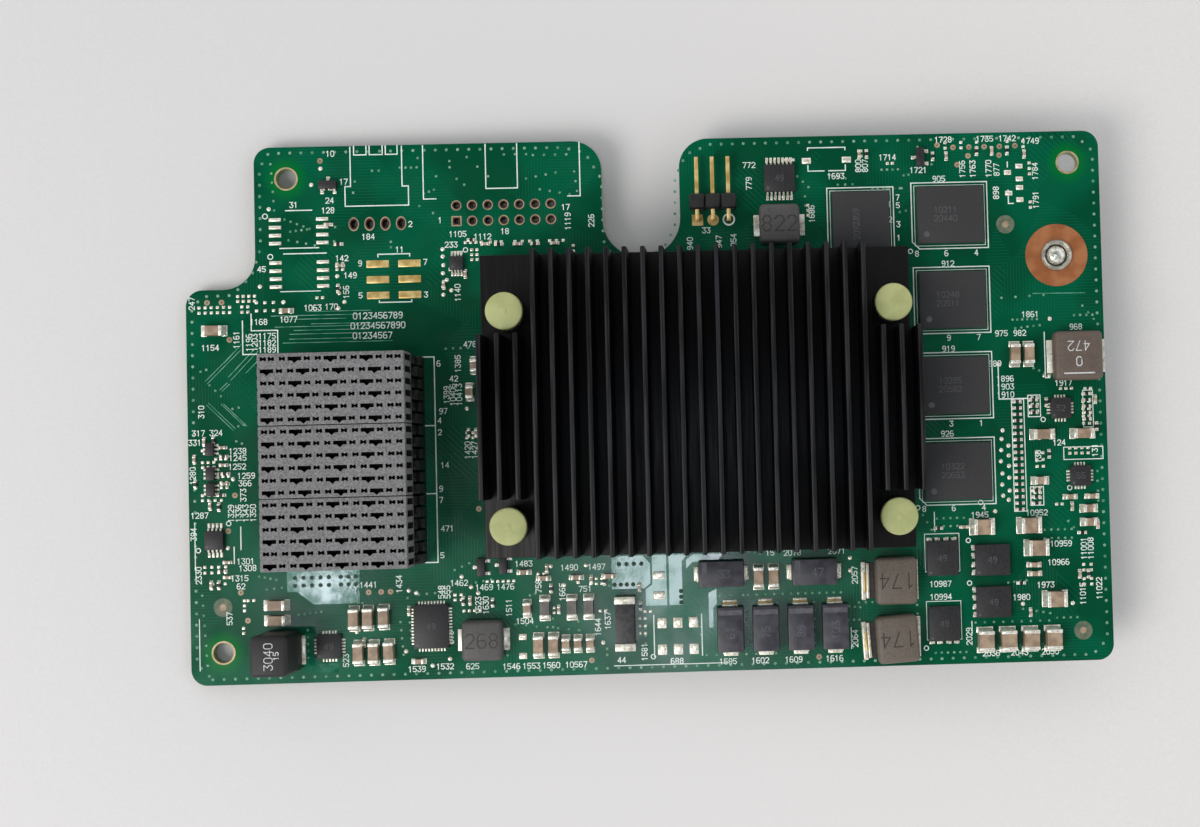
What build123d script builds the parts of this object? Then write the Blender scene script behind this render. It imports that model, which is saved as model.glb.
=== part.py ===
# Mezzanine network card: a circuit board that plugs face down on a larger board. It carries
# a three-module socket, a finned heat sink on sprung push pins, its power supply and memory,
# and a captive screw. X runs along the card, Y across it and Z out of the component side.
# The origin is the centre of the lower left mounting hole, on the component face.

import math
import os

from build123d import *

os.makedirs("parts", exist_ok=True)

# Circuit board
card_length = 148.4
card_width = 86.3
board_thickness = 1.6
outer_corner_radius = 2.6
cutaway_length = 11.2
cutaway_width = 22.9
cutaway_corner_radius = 5.2
notch_width = 12.6
notch_depth = 19.1
notch_corner_radius = 4.7
notch_share = 0.4953
mount_hole_diameter = 3.2
mount_hole_inset = 5.15

# Header holes left without a header, and the three-pin jumper header
header_pitch = 2.54
header_hole_diameter = 1.15
header_hole_sides = 6
debug_columns = 7
debug_rows = 2
debug_header_share = (0.3455, 0.8688)
fan_hole_width = 1.2
fan_hole_length = 1.8
fan_hole_count = 4
fan_header_share = (0.2083, 0.8525)
jumper_share = (0.5739, 0.8459)
jumper_pin_count = 3
jumper_pin_size = 0.64
jumper_pin_clearance = 0.02
jumper_pin_height = 1.5
jumper_pin_reach = 10.2
jumper_tail = 3.0
jumper_body_depth = 2.5
jumper_body_height = 2.5
jumper_body_setback = 1.5
jumper_groove = 0.5

# Heat sink: one extrusion with its corners milled clear for the push pins
sink_length_share = 0.4667
fin_pitch = 2.844
short_fin_count = 3
fin_root_thickness = 1.0
fin_height = 7.5
fin_side_angle = 89
sink_base_thickness = 2.6
sink_width = 47.9
sink_share = (0.5573, 0.5023)
corner_relief = 1.2

# Network chip under the heat sink
chip_size = 31.0
chip_substrate_thickness = 1.2
chip_lid_size = 25.0
chip_lid_thickness = 1.9
thermal_pad_size = 23.0
thermal_pad_thickness = 0.3

# Push pins and their springs
pin_end_inset = 4.2
pin_upper_inset = 9.275
pin_lower_inset = 5.075
pin_corner_margin = 0.9
pin_head_diameter = 5.9
pin_head_thickness = 1.3
pin_shank_diameter = 2.9
pin_hole_clearance = 0.15
pin_sides = 8
pin_head_sides = 24
pin_barb_diameter = 3.9
pin_barb_length = 3.0
pin_barb_thickness = 1.8
pin_split = 0.7
pin_spring_length = 3.2
pin_spring_diameter = 5.8
pin_spring_turns = 2
spring_wire = 0.45
spring_clearance = 0.05
coil_sides = 6

# Socket: three modules of six rows, each a slotted cap over six wafers
module_count = 3
rows_per_module = 6
row_pitch = 1.85
module_gap = 0.12
socket_length = 22.15
socket_height = 15.5
socket_share = (0.1786, 0.4090)
cap_height = 6.0
slot_depth = 3.0
slot_width = 0.42
long_slot_length = 2.05
short_slot_length = 0.95
wafer_thickness = 1.5
wafer_step = 0.35
wafer_step_height = 3.2
long_slot_shares = [
    (-0.245, 0, 0.245),
    (-0.436, -0.190, 0.055, 0.300),
]
short_slot_shares = [
    (-0.460, -0.405, -0.330, -0.160, -0.085, 0.085, 0.160, 0.330, 0.405, 0.460),
    (-0.351, -0.275, -0.106, -0.030, 0.140, 0.215, 0.385, 0.460),
]

# Captive screw: a flanged retainer pressed in the board, a sprung screw and its washer
captive_share = (0.9501, 0.7645)
turned_sides = 20
retainer_diameter = 5.0
retainer_bore = 4.0
retainer_length = 4.0
retainer_flange_thickness = 0.8
retainer_lip_thickness = 0.6
retainer_lip_clearance = 0.15
retainer_stand = 0.6
retainer_fit = 0.02
screw_thread_diameter = 3.2
screw_shank_diameter = 2.5
screw_travel = 2.6
screw_head_thickness = 1.8
screw_recess_width = 0.9
screw_recess_length = 3.4
screw_recess_depth = 1.0
screw_tip_stand = 0.8
screw_tip_chamfer = 0.6
washer_thickness = 0.5
washer_clearance = 0.08
running_gap = 0.1
screw_spring_turns = 3
spring_bore_clearance = 0.15
spring_seat_margin = 0.15

# Memory chips: a column of four beside the heat sink, and one turned a quarter
memory_length = 10.9
memory_width = 9.3
memory_height = 1.1
memory_shares = [(0.8336, 0.8445), (0.8336, 0.6840), (0.8336, 0.5225), (0.8336, 0.3610)]
turned_memory_share = (0.7356, 0.8290)

# Power inductors: two small, two wide, one square and one tall
small_inductor_length = 6.5
small_inductor_width = 6.4
wide_inductor_length = 6.7
wide_inductor_width = 7.6
square_inductor_size = 7.9
flat_inductor_height = 3.0
tall_inductor_length = 6.0
tall_inductor_width = 6.4
tall_inductor_height = 9.6
inductor_corner = 0.6
terminal_thickness = 0.35
terminal_foot = 1.5
small_terminal_width = 3.5
small_terminal_reach = 0.9
wide_terminal_width = 6.4
wide_terminal_reach = 2.2
square_terminal_width = 5.4
square_terminal_reach = 0.8
tall_terminal_width = 4.6
tall_terminal_reach = 0.5
small_inductor_shares = [(0.6459, 0.8322), (0.3148, 0.0715)]
wide_inductor_shares = [(0.7623, 0.1606), (0.7621, 0.0525)]
wide_inductor_turns = [0, 3.5]
square_inductor_share = (0.9676, 0.5723)
tall_inductor_share = (0.0995, 0.0614)

# Tantalum capacitors: two along the card and four across it
tantalum_length = 7.3
tantalum_width = 4.3
tantalum_height = 2.7
tantalum_draft = 4
tantalum_lead_width = 2.5
tantalum_lead_thickness = 0.3
tantalum_lead_height = 1.3
lengthwise_tantalum_shares = [(0.5731, 0.1820), (0.6739, 0.1812)]
crosswise_tantalum_shares = [(0.5817, 0.0788), (0.6200, 0.0788), (0.6579, 0.0788), (0.6953, 0.0788)]

# Power bead with a cap on each end
bead_length = 8.7
bead_width = 3.0
bead_height = 2.2
bead_cap_length = 1.2
bead_cap_overhang = 0.15
bead_share = (0.4682, 0.0944)

# Power transistors: two stand across the card, leads apart, and two lie along it
transistor_length = 5.6
transistor_width = 5.0
transistor_height = 1.0
transistor_lead_count = 4
transistor_lead_pitch = 1.27
transistor_lead_width = 0.6
transistor_lead_reach = 0.45
transistor_lead_thickness = 0.25
transistor_shares = [(0.8143, 0.1993), (0.8143, 0.0769), (0.8689, 0.1935), (0.8689, 0.1148)]
transistor_turns = [0, 180, 90, 90]

# Leadless chips
leadless_height = 0.9
controller_length = 5.5
controller_width = 7.0
controller_share = (0.2588, 0.0986)
regulator_size = 3.9
regulator_shares = [(0.1487, 0.0668)]
small_regulator_size = 3.3
small_regulator_shares = [(0.9489, 0.4748), (0.9684, 0.3469)]

# Leaded chips: body, lead count along one side and lead pitch
logic_length = 5.0
logic_width = 4.4
logic_height = 1.2
logic_lead_count = 7
logic_lead_pitch = 0.65
logic_lead_width = 0.28
logic_lead_reach = 1.0
logic_lead_thickness = 0.18
logic_gap = 1.22
logic_along_share = 0.6473
sensor_size = 3.0
sensor_height = 1.0
sensor_lead_count = 4
sensor_lead_pitch = 0.65
sensor_lead_width = 0.3
sensor_lead_reach = 0.95
sensor_shares = [(0.0278, 0.2686)]
clock_size = 2.2
clock_lead_pitch = 0.5
clock_lead_reach = 0.7
clock_shares = [(0.2937, 0.7741)]
switch_length = 1.35
switch_width = 2.1
switch_height = 0.95
switch_lead_count = 3
switch_lead_pitch = 0.65
switch_lead_reach = 0.4
switch_shares = [(0.0245, 0.4377), (0.0247, 0.3923), (0.0247, 0.3626)]
small_transistor_length = 2.9
small_transistor_width = 1.3
small_transistor_lead_width = 0.45
small_transistor_lead_reach = 0.55
small_transistor_shares = [(0.1558, 0.9267), (0.3136, 0.2055), (0.3373, 0.2088), (0.8025, 0.9555)]
small_transistor_turns = [0, 90, 90, 90]

# Chip capacitors and resistors by case, lying along the card and across it
large_chip_length = 3.2
large_chip_width = 2.5
large_chip_height = 2.5
middle_chip_length = 3.2
middle_chip_width = 1.6
middle_chip_height = 1.6
ferrite_chip_height = 1.1
small_chip_length = 2.0
small_chip_width = 1.25
small_chip_height = 1.2
tiny_chip_length = 1.6
tiny_chip_width = 0.8
tiny_chip_height = 0.8
resistor_length = 1.0
resistor_width = 0.5
resistor_height = 0.35
large_chip_along_shares = [(0.8593, 0.2557), (0.9110, 0.2561), (0.9184, 0.2139), (0.9368, 0.1175)]
large_chip_across_shares = [(0.8588, 0.0437), (0.8835, 0.0437), (0.9081, 0.0437), (0.9327, 0.0437)]
middle_chip_along_shares = [
    (0.0926, 0.1454), (0.0929, 0.1174), (0.9284, 0.4264), (0.9726, 0.4264), (0.0302, 0.6581),
]
middle_chip_across_shares = [
    (0.1759, 0.1166), (0.1910, 0.1170), (0.2079, 0.1180), (0.1802, 0.0528), (0.1965, 0.0528),
    (0.2130, 0.0535), (0.3738, 0.0570), (0.3900, 0.0570), (0.9004, 0.5787), (0.9157, 0.5787),
]
pale_chip_across_shares = [(0.6135, 0.1734), (0.6298, 0.1734)]
ferrite_chip_across_shares = [(0.3813, 0.1264), (0.4105, 0.1264), (0.4287, 0.1264)]
small_chip_along_shares = [(0.9243, 0.3395), (0.9771, 0.2851), (0.9771, 0.2595)]
small_chip_across_shares = [
    (0.3622, 0.1265), (0.4032, 0.0585), (0.4163, 0.0585), (0.4295, 0.0585), (0.3104, 0.5822), (0.3049, 0.5328),
]
tiny_chip_along_shares = [
    (0.3595, 0.1942), (0.3803, 0.1819), (0.4159, 0.1819), (0.4511, 0.1827), (0.9150, 0.1819),
    (0.9155, 0.1653), (0.9570, 0.3077), (0.9810, 0.3077), (0.1082, 0.6927), (0.2443, 0.0341),
]
resistor_pitch_share = 0.01193
resistor_column_shares = [(0.9017, 0.3877), (0.9198, 0.4798), (0.9198, 0.3090), (0.9784, 0.4774)]
resistor_column_counts = [18, 3, 3, 5]

# Planes: the card's component face with its lower left corner as origin, and what sits on it
card_face = Plane(origin=(-mount_hole_inset, -mount_hole_inset, 0))


def spots(shares):
    """Places on the card's face from shares of its length and width."""
    return [(card_length * along, card_width * across) for along, across in shares]


def frame_at(share, turn=0):
    """A plane on the card's face, centred on one place and turned about Z."""
    x, y = spots([share])[0]
    return Plane(card_face.location * Location((x, y, 0), (0, 0, turn)))


sink_frame = frame_at(sink_share)
chip_offset = (pin_lower_inset - pin_upper_inset) / 2
chip_frame = Plane(sink_frame.location * Location((0, chip_offset, 0)))
logic_stand_off = small_inductor_width / 2 + logic_gap + logic_lead_reach + logic_width / 2
logic_share = (logic_along_share, small_inductor_shares[0][1] + logic_stand_off / card_width)
socket_frame = frame_at(socket_share)
captive_frame = frame_at(captive_share)
jumper_frame = frame_at(jumper_share)

sink_bottom = chip_substrate_thickness + chip_lid_thickness + thermal_pad_thickness
sink_base_top = sink_bottom + sink_base_thickness
fin_count = 1 + round((card_length * sink_length_share - fin_root_thickness) / fin_pitch)
sink_length = (fin_count - 1) * fin_pitch + fin_root_thickness
corner_clear_length = (2 * short_fin_count - 1) * fin_pitch / 2 + fin_root_thickness / 2
pin_spacing_length = sink_length - 2 * pin_end_inset
pin_spacing_width = sink_width - pin_upper_inset - pin_lower_inset
upper_clear_width = pin_upper_inset + pin_head_diameter / 2 + pin_corner_margin
lower_clear_width = pin_lower_inset + pin_head_diameter / 2 + pin_corner_margin
pin_hole_radius = pin_shank_diameter / 2 + pin_hole_clearance

# Circuit board
shoulder = card_width - cutaway_width
notch_x = card_length * notch_share
mount_holes = [
    (mount_hole_inset, mount_hole_inset),
    (cutaway_length + mount_hole_inset, card_width - mount_hole_inset),
    (card_length - mount_hole_inset, card_width - mount_hole_inset),
]

slot_half = fan_hole_width / 2
slot_end = fan_hole_length / 2
slot_flat = slot_half / 2
slot_outline = [
    (slot_half, slot_half - slot_end),
    (slot_half, slot_end - slot_half),
    (slot_flat, slot_end),
    (-slot_flat, slot_end),
    (-slot_half, slot_end - slot_half),
    (-slot_half, slot_half - slot_end),
    (-slot_flat, -slot_end),
    (slot_flat, -slot_end),
]

with BuildPart() as circuit_board:
    with BuildSketch(card_face) as outline:
        with BuildLine():
            FilletPolyline(
                (0, 0),
                (card_length, 0),
                (card_length, card_width),
                (cutaway_length, card_width),
                (cutaway_length, shoulder),
                (0, shoulder),
                radius=[outer_corner_radius] * 4 + [cutaway_corner_radius, outer_corner_radius],
                close=True,
            )
        make_face()
        with Locations((notch_x, card_width - notch_depth + notch_width / 2)):
            Circle(notch_width / 2, mode=Mode.SUBTRACT)
            Rectangle(notch_width, notch_depth, align=(Align.CENTER, Align.MIN), mode=Mode.SUBTRACT)
        notch_corners = outline.vertices().sort_by_distance((notch_x, card_width))[:2]
        fillet(notch_corners, notch_corner_radius)
    extrude(amount=-board_thickness)
    with BuildSketch(card_face) as round_holes:
        with Locations(*mount_holes):
            Circle(mount_hole_diameter / 2)
        with Locations(*spots([captive_share])):
            RegularPolygon(retainer_diameter / 2 + retainer_fit, turned_sides)
        with Locations(*spots([debug_header_share])):
            with GridLocations(header_pitch, header_pitch, debug_columns, debug_rows):
                RegularPolygon(header_hole_diameter / 2, header_hole_sides)
        with Locations(*spots([jumper_share])):
            with GridLocations(header_pitch, header_pitch, jumper_pin_count, 1):
                RegularPolygon(header_hole_diameter / 2, header_hole_sides)
        with Locations(*spots([fan_header_share])):
            with GridLocations(header_pitch, header_pitch, fan_hole_count, 1):
                Polygon(*slot_outline, align=None)
    extrude(amount=board_thickness, both=True, mode=Mode.SUBTRACT)
    with BuildSketch(chip_frame) as pin_holes:
        with GridLocations(pin_spacing_length, pin_spacing_width, 2, 2):
            RegularPolygon(pin_hole_radius, pin_sides)
    extrude(amount=board_thickness, both=True, mode=Mode.SUBTRACT)
circuit_board.part.label = "circuit_board"
export_step(circuit_board.part, "parts/circuit_board.step")

# Heat sink: the finned profile is drawn end on and run across the card
sink_end = Plane(origin=sink_frame.origin, x_dir=(1, 0, 0), z_dir=(0, -1, 0))
with BuildPart() as heat_sink:
    with BuildSketch(sink_end):
        with Locations((0, sink_bottom)):
            Rectangle(sink_length, sink_base_thickness, align=(Align.CENTER, Align.MIN))
        with Locations((0, sink_base_top)):
            with GridLocations(fin_pitch, fin_pitch, fin_count, 1):
                Trapezoid(
                    fin_root_thickness, fin_height, fin_side_angle, align=(Align.CENTER, Align.MIN)
                )
    extrude(amount=sink_width / 2, both=True)
    with BuildSketch(sink_frame.offset(sink_base_top)):
        for side, align_x in ((-1, Align.MIN), (1, Align.MAX)):
            with Locations((side * sink_length / 2, sink_width / 2)):
                Rectangle(corner_clear_length, upper_clear_width, align=(align_x, Align.MAX))
            with Locations((side * sink_length / 2, -sink_width / 2)):
                Rectangle(corner_clear_length, lower_clear_width, align=(align_x, Align.MIN))
    extrude(amount=fin_height, mode=Mode.SUBTRACT)
    with BuildSketch(sink_frame.offset(sink_bottom)):
        with Locations((sink_length / 2, sink_width / 2)):
            Rectangle(corner_relief, upper_clear_width, align=(Align.MAX, Align.MAX))
        with Locations((sink_length / 2, -sink_width / 2)):
            Rectangle(corner_relief, lower_clear_width, align=(Align.MAX, Align.MIN))
    extrude(amount=sink_base_thickness, mode=Mode.SUBTRACT)
    with BuildSketch(chip_frame.offset(sink_bottom)):
        with GridLocations(pin_spacing_length, pin_spacing_width, 2, 2):
            RegularPolygon(pin_hole_radius, pin_sides)
    extrude(amount=sink_base_thickness, mode=Mode.SUBTRACT)
heat_sink.part.label = "heat_sink"
export_step(heat_sink.part, "parts/heat_sink.step")

# Network chip: a substrate on the board, its metal lid and the pad up to the heat sink
chip_lid_bottom = chip_substrate_thickness
thermal_pad_bottom = chip_lid_bottom + chip_lid_thickness
with BuildPart() as network_chip_substrate:
    with BuildSketch(chip_frame):
        Rectangle(chip_size, chip_size)
    extrude(amount=chip_substrate_thickness)
network_chip_substrate.part.label = "network_chip_substrate"
export_step(network_chip_substrate.part, "parts/network_chip_substrate.step")

with BuildPart() as network_chip_lid:
    with BuildSketch(chip_frame.offset(chip_lid_bottom)):
        Rectangle(chip_lid_size, chip_lid_size)
    extrude(amount=chip_lid_thickness)
network_chip_lid.part.label = "network_chip_lid"
export_step(network_chip_lid.part, "parts/network_chip_lid.step")

with BuildPart() as thermal_pad:
    with BuildSketch(chip_frame.offset(thermal_pad_bottom)):
        Rectangle(thermal_pad_size, thermal_pad_size)
    extrude(amount=thermal_pad_thickness)
thermal_pad.part.label = "thermal_pad"
export_step(thermal_pad.part, "parts/thermal_pad.step")

# Push pins: a round head and shank, and two barbed prongs that catch behind the board
pin_head_bottom = sink_base_top + pin_spring_length
with BuildPart() as push_pins:
    with BuildSketch(chip_frame.offset(pin_head_bottom)):
        with GridLocations(pin_spacing_length, pin_spacing_width, 2, 2):
            RegularPolygon(pin_head_diameter / 2, pin_head_sides)
    extrude(amount=pin_head_thickness)
    with BuildSketch(chip_frame.offset(-board_thickness)):
        with GridLocations(pin_spacing_length, pin_spacing_width, 2, 2):
            RegularPolygon(pin_shank_diameter / 2, pin_sides)
    extrude(amount=board_thickness + pin_head_bottom)
    for side in (-1, 1):
        prong_end = Plane(
            origin=chip_frame.from_local_coords((0, side * pin_spacing_width / 2, -board_thickness)),
            x_dir=(1, 0, 0),
            z_dir=(0, -1, 0),
        )
        with BuildSketch(prong_end):
            with GridLocations(pin_spacing_length, pin_spacing_length, 2, 1):
                for half in (-1, 1):
                    Polygon(
                        (half * pin_split / 2, 0),
                        (half * pin_barb_diameter / 2, 0),
                        (half * pin_shank_diameter / 3, -pin_barb_length),
                        (half * pin_split / 2, -pin_barb_length),
                        align=None,
                    )
        extrude(amount=pin_barb_thickness / 2, both=True)
push_pins.part.label = "push_pins"
export_step(push_pins.part, "parts/push_pins.step")


def coil_points(radius, height, turns):
    """Points of a coil that climbs in straight steps, enough of them to look round."""
    steps = turns * coil_sides
    return [
        (
            radius * math.cos(math.tau * step / coil_sides),
            radius * math.sin(math.tau * step / coil_sides),
            height * step / steps,
        )
        for step in range(steps + 1)
    ]


# Push-pin springs, between the heat sink's base and each pin's head
coil_inset = spring_wire / 2 + spring_clearance
with BuildPart() as pin_coil:
    with BuildLine():
        coil_path = Polyline(
            *coil_points(
                (pin_spring_diameter - spring_wire) / 2,
                pin_spring_length - 2 * coil_inset,
                pin_spring_turns,
            )
        )
    with BuildSketch(Plane(origin=coil_path @ 0, z_dir=coil_path % 0)):
        Rectangle(spring_wire, spring_wire)
    sweep(transition=Transition.RIGHT)
with BuildPart(chip_frame.offset(sink_base_top + coil_inset)) as push_pin_springs:
    with GridLocations(pin_spacing_length, pin_spacing_width, 2, 2):
        add(pin_coil.part)
push_pin_springs.part.label = "push_pin_springs"
export_step(push_pin_springs.part, "parts/push_pin_springs.step")

# Socket modules: each cap takes six rows of slots, and a wafer stands under every row
cap_bottom = socket_height - cap_height
module_pitch = rows_per_module * row_pitch
module_width = module_pitch - module_gap
for module in range(module_count):
    module_y = (module_count - 1 - 2 * module) * module_pitch / 2
    module_frame = Plane(socket_frame.location * Location((0, module_y, 0)))
    with BuildPart() as socket_cap:
        with BuildSketch(module_frame.offset(cap_bottom)):
            Rectangle(socket_length, module_width)
        extrude(amount=cap_height - slot_depth)
        with BuildSketch(module_frame.offset(socket_height - slot_depth)):
            Rectangle(socket_length, module_width)
            for row in range(rows_per_module):
                row_y = (rows_per_module - 1 - 2 * row) * row_pitch / 2
                with Locations(*[(socket_length * s, row_y) for s in long_slot_shares[row % 2]]):
                    Rectangle(long_slot_length, slot_width, mode=Mode.SUBTRACT)
                with Locations(*[(socket_length * s, row_y) for s in short_slot_shares[row % 2]]):
                    Rectangle(short_slot_length, slot_width, mode=Mode.SUBTRACT)
        extrude(amount=slot_depth)
    socket_cap.part.label = f"socket_cap_{module + 1}"
    export_step(socket_cap.part, f"parts/socket_cap_{module + 1}.step")

    with BuildPart() as socket_wafers:
        for row in range(rows_per_module):
            row_y = (rows_per_module - 1 - 2 * row) * row_pitch / 2
            step_top = wafer_step_height * (1 + row % 2)
            wafer_end = Plane(
                origin=module_frame.from_local_coords((0, row_y, 0)),
                x_dir=(1, 0, 0),
                z_dir=(0, -1, 0),
            )
            with BuildSketch(wafer_end):
                with BuildLine():
                    Polyline(
                        (-socket_length / 2, 0),
                        (socket_length / 2 + wafer_step, 0),
                        (socket_length / 2 + wafer_step, step_top),
                        (socket_length / 2 - wafer_step, step_top),
                        (socket_length / 2 - wafer_step, cap_bottom),
                        (-socket_length / 2, cap_bottom),
                        close=True,
                    )
                make_face()
            extrude(amount=wafer_thickness / 2, both=True)
    socket_wafers.part.label = f"socket_wafers_{module + 1}"
    export_step(socket_wafers.part, f"parts/socket_wafers_{module + 1}.step")

# Jumper header: a grooved block with three bent pins, whose tails go through the board
with BuildPart() as jumper_header_block:
    with BuildSketch(jumper_frame):
        with Locations((0, jumper_body_setback)):
            Rectangle(
                jumper_pin_count * header_pitch,
                jumper_body_depth,
                align=(Align.CENTER, Align.MIN),
            )
            for end in (0, jumper_body_depth):
                with Locations((0, end)):
                    with GridLocations(header_pitch, header_pitch, jumper_pin_count - 1, 1):
                        Rectangle(jumper_groove, jumper_groove, rotation=45, mode=Mode.SUBTRACT)
    extrude(amount=jumper_body_height)
    with BuildSketch(
        Plane(
            origin=jumper_frame.from_local_coords((0, jumper_body_setback, jumper_pin_height)),
            x_dir=(-1, 0, 0),
            z_dir=(0, 1, 0),
        )
    ):
        with GridLocations(header_pitch, header_pitch, jumper_pin_count, 1):
            Rectangle(
                jumper_pin_size + 2 * jumper_pin_clearance, jumper_pin_size + 2 * jumper_pin_clearance
            )
    extrude(amount=jumper_body_depth, mode=Mode.SUBTRACT)
jumper_header_block.part.label = "jumper_header_block"
export_step(jumper_header_block.part, "parts/jumper_header_block.step")

with BuildPart() as jumper_header_pins:
    pin_side = Plane(origin=jumper_frame.origin, x_dir=(0, 1, 0), z_dir=(1, 0, 0))
    half_pin = jumper_pin_size / 2
    for pin in range(jumper_pin_count):
        pin_x = (2 * pin - jumper_pin_count + 1) * header_pitch / 2
        with BuildSketch(pin_side.offset(pin_x)):
            with BuildLine():
                Polyline(
                    (-half_pin, -jumper_tail),
                    (half_pin, -jumper_tail),
                    (half_pin, jumper_pin_height - half_pin),
                    (jumper_pin_reach, jumper_pin_height - half_pin),
                    (jumper_pin_reach, jumper_pin_height + half_pin),
                    (-half_pin, jumper_pin_height + half_pin),
                    close=True,
                )
            make_face()
        extrude(amount=half_pin, both=True)
jumper_header_pins.part.label = "jumper_header_pins"
export_step(jumper_header_pins.part, "parts/jumper_header_pins.step")

# Captive screw retainer: a flanged sleeve pressed in the board from behind, with a lip inside
lip_bottom = -retainer_length
lip_top = lip_bottom + retainer_lip_thickness
flange_bottom = -board_thickness - retainer_flange_thickness
lip_radius = screw_shank_diameter / 2 + retainer_lip_clearance
coil_flat = math.cos(math.pi / coil_sides)
screw_coil_radius = (retainer_diameter / 2 + spring_bore_clearance + spring_wire / 2) / coil_flat
spring_seat_radius = screw_coil_radius + spring_wire / 2 + spring_seat_margin
with BuildPart() as captive_screw_retainer:
    with BuildSketch(captive_frame.offset(lip_bottom)):
        RegularPolygon(retainer_diameter / 2, turned_sides)
        RegularPolygon(lip_radius, turned_sides, mode=Mode.SUBTRACT)
    extrude(amount=retainer_lip_thickness)
    with BuildSketch(captive_frame.offset(lip_top)):
        RegularPolygon(retainer_diameter / 2, turned_sides)
        RegularPolygon(retainer_bore / 2, turned_sides, mode=Mode.SUBTRACT)
    extrude(amount=retainer_stand - lip_top)
    with BuildSketch(captive_frame.offset(flange_bottom)):
        RegularPolygon(spring_seat_radius, turned_sides)
        RegularPolygon(retainer_bore / 2, turned_sides, mode=Mode.SUBTRACT)
    extrude(amount=retainer_flange_thickness)
captive_screw_retainer.part.label = "captive_screw_retainer"
export_step(captive_screw_retainer.part, "parts/captive_screw_retainer.step")

# Captive screw washer, spring and screw, drawn with the screw sprung back from the board
washer_top = lip_bottom - running_gap - screw_travel
washer_bottom = washer_top - washer_thickness
screw_head_top = washer_bottom - running_gap / 2
thread_bottom = lip_top + running_gap
with BuildPart() as captive_screw_washer:
    with BuildSketch(captive_frame.offset(washer_bottom)):
        RegularPolygon(spring_seat_radius, turned_sides)
        RegularPolygon(screw_shank_diameter / 2 + washer_clearance, turned_sides, mode=Mode.SUBTRACT)
    extrude(amount=washer_thickness)
captive_screw_washer.part.label = "captive_screw_washer"
export_step(captive_screw_washer.part, "parts/captive_screw_washer.step")

screw_spring_bottom = washer_top + coil_inset
screw_spring_length = flange_bottom - washer_top - 2 * coil_inset
with BuildPart() as captive_screw_spring:
    spring_foot = captive_frame.offset(screw_spring_bottom)
    with BuildLine(spring_foot):
        spring_path = Polyline(
            *coil_points(screw_coil_radius, screw_spring_length, screw_spring_turns)
        )
    with BuildSketch(Plane(origin=spring_path @ 0, z_dir=spring_path % 0)):
        Rectangle(spring_wire, spring_wire)
    sweep(transition=Transition.RIGHT)
captive_screw_spring.part.label = "captive_screw_spring"
export_step(captive_screw_spring.part, "parts/captive_screw_spring.step")

with BuildPart() as captive_screw:
    with BuildSketch(captive_frame.offset(screw_head_top)):
        RegularPolygon(spring_seat_radius, turned_sides)
    extrude(amount=-screw_head_thickness)
    with BuildSketch(captive_frame.offset(screw_head_top)):
        RegularPolygon(screw_shank_diameter / 2, turned_sides)
    extrude(amount=thread_bottom - screw_head_top)
    with BuildSketch(captive_frame.offset(thread_bottom)):
        RegularPolygon(screw_thread_diameter / 2, turned_sides)
    extrude(amount=screw_tip_stand - thread_bottom)
    chamfer(captive_screw.faces().sort_by(Axis.Z)[-1].edges(), screw_tip_chamfer)
    with BuildSketch(captive_frame.offset(screw_head_top - screw_head_thickness)):
        Rectangle(screw_recess_length, screw_recess_width)
        Rectangle(screw_recess_width, screw_recess_length)
    extrude(amount=screw_recess_depth, mode=Mode.SUBTRACT)
captive_screw.part.label = "captive_screw"
export_step(captive_screw.part, "parts/captive_screw.step")

# Memory chips
memory_frames = [frame_at(share) for share in memory_shares] + [frame_at(turned_memory_share, 90)]
for number, memory_frame in enumerate(memory_frames, start=1):
    with BuildPart() as memory_chip:
        with BuildSketch(memory_frame):
            Rectangle(memory_length, memory_width)
        extrude(amount=memory_height)
    memory_chip.part.label = f"memory_chip_{number}"
    export_step(memory_chip.part, f"parts/memory_chip_{number}.step")

# Power inductors: moulded blocks with rounded upright corners and flat terminals let in below
inductors = [
    (
        frame_at(share),
        (small_inductor_length, small_inductor_width, flat_inductor_height),
        small_terminal_width,
        (small_terminal_reach, small_terminal_reach),
    )
    for share in small_inductor_shares
]
inductors += [
    (
        frame_at(share, turn),
        (wide_inductor_length, wide_inductor_width, flat_inductor_height),
        wide_terminal_width,
        (wide_terminal_reach, terminal_thickness),
    )
    for share, turn in zip(wide_inductor_shares, wide_inductor_turns)
]
inductors += [
    (
        frame_at(square_inductor_share),
        (square_inductor_size, square_inductor_size, flat_inductor_height),
        square_terminal_width,
        (square_terminal_reach, square_terminal_reach),
    ),
    (
        frame_at(tall_inductor_share),
        (tall_inductor_length, tall_inductor_width, tall_inductor_height),
        tall_terminal_width,
        (tall_terminal_reach, tall_terminal_reach),
    ),
]


def terminal_pair(length, tab_width, reaches):
    """Both flat terminals of an inductor, each from its foot out to its reach."""
    for side, reach in zip((-1, 1), reaches):
        with Locations((side * (length / 2 - terminal_foot), 0)):
            Rectangle(
                terminal_foot + reach,
                tab_width,
                align=(Align.MAX if side < 0 else Align.MIN, Align.CENTER),
            )


for number, (frame, body_size, tab_width, reaches) in enumerate(inductors, start=1):
    with BuildPart() as power_inductor:
        with BuildSketch(frame):
            Rectangle(body_size[0], body_size[1])
        extrude(amount=body_size[2])
        chamfer(power_inductor.edges().filter_by(Axis.Z), inductor_corner)
        with BuildSketch(frame):
            terminal_pair(body_size[0], tab_width, reaches)
        extrude(amount=terminal_thickness, mode=Mode.SUBTRACT)
    power_inductor.part.label = f"power_inductor_{number}"
    export_step(power_inductor.part, f"parts/power_inductor_{number}.step")

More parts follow.
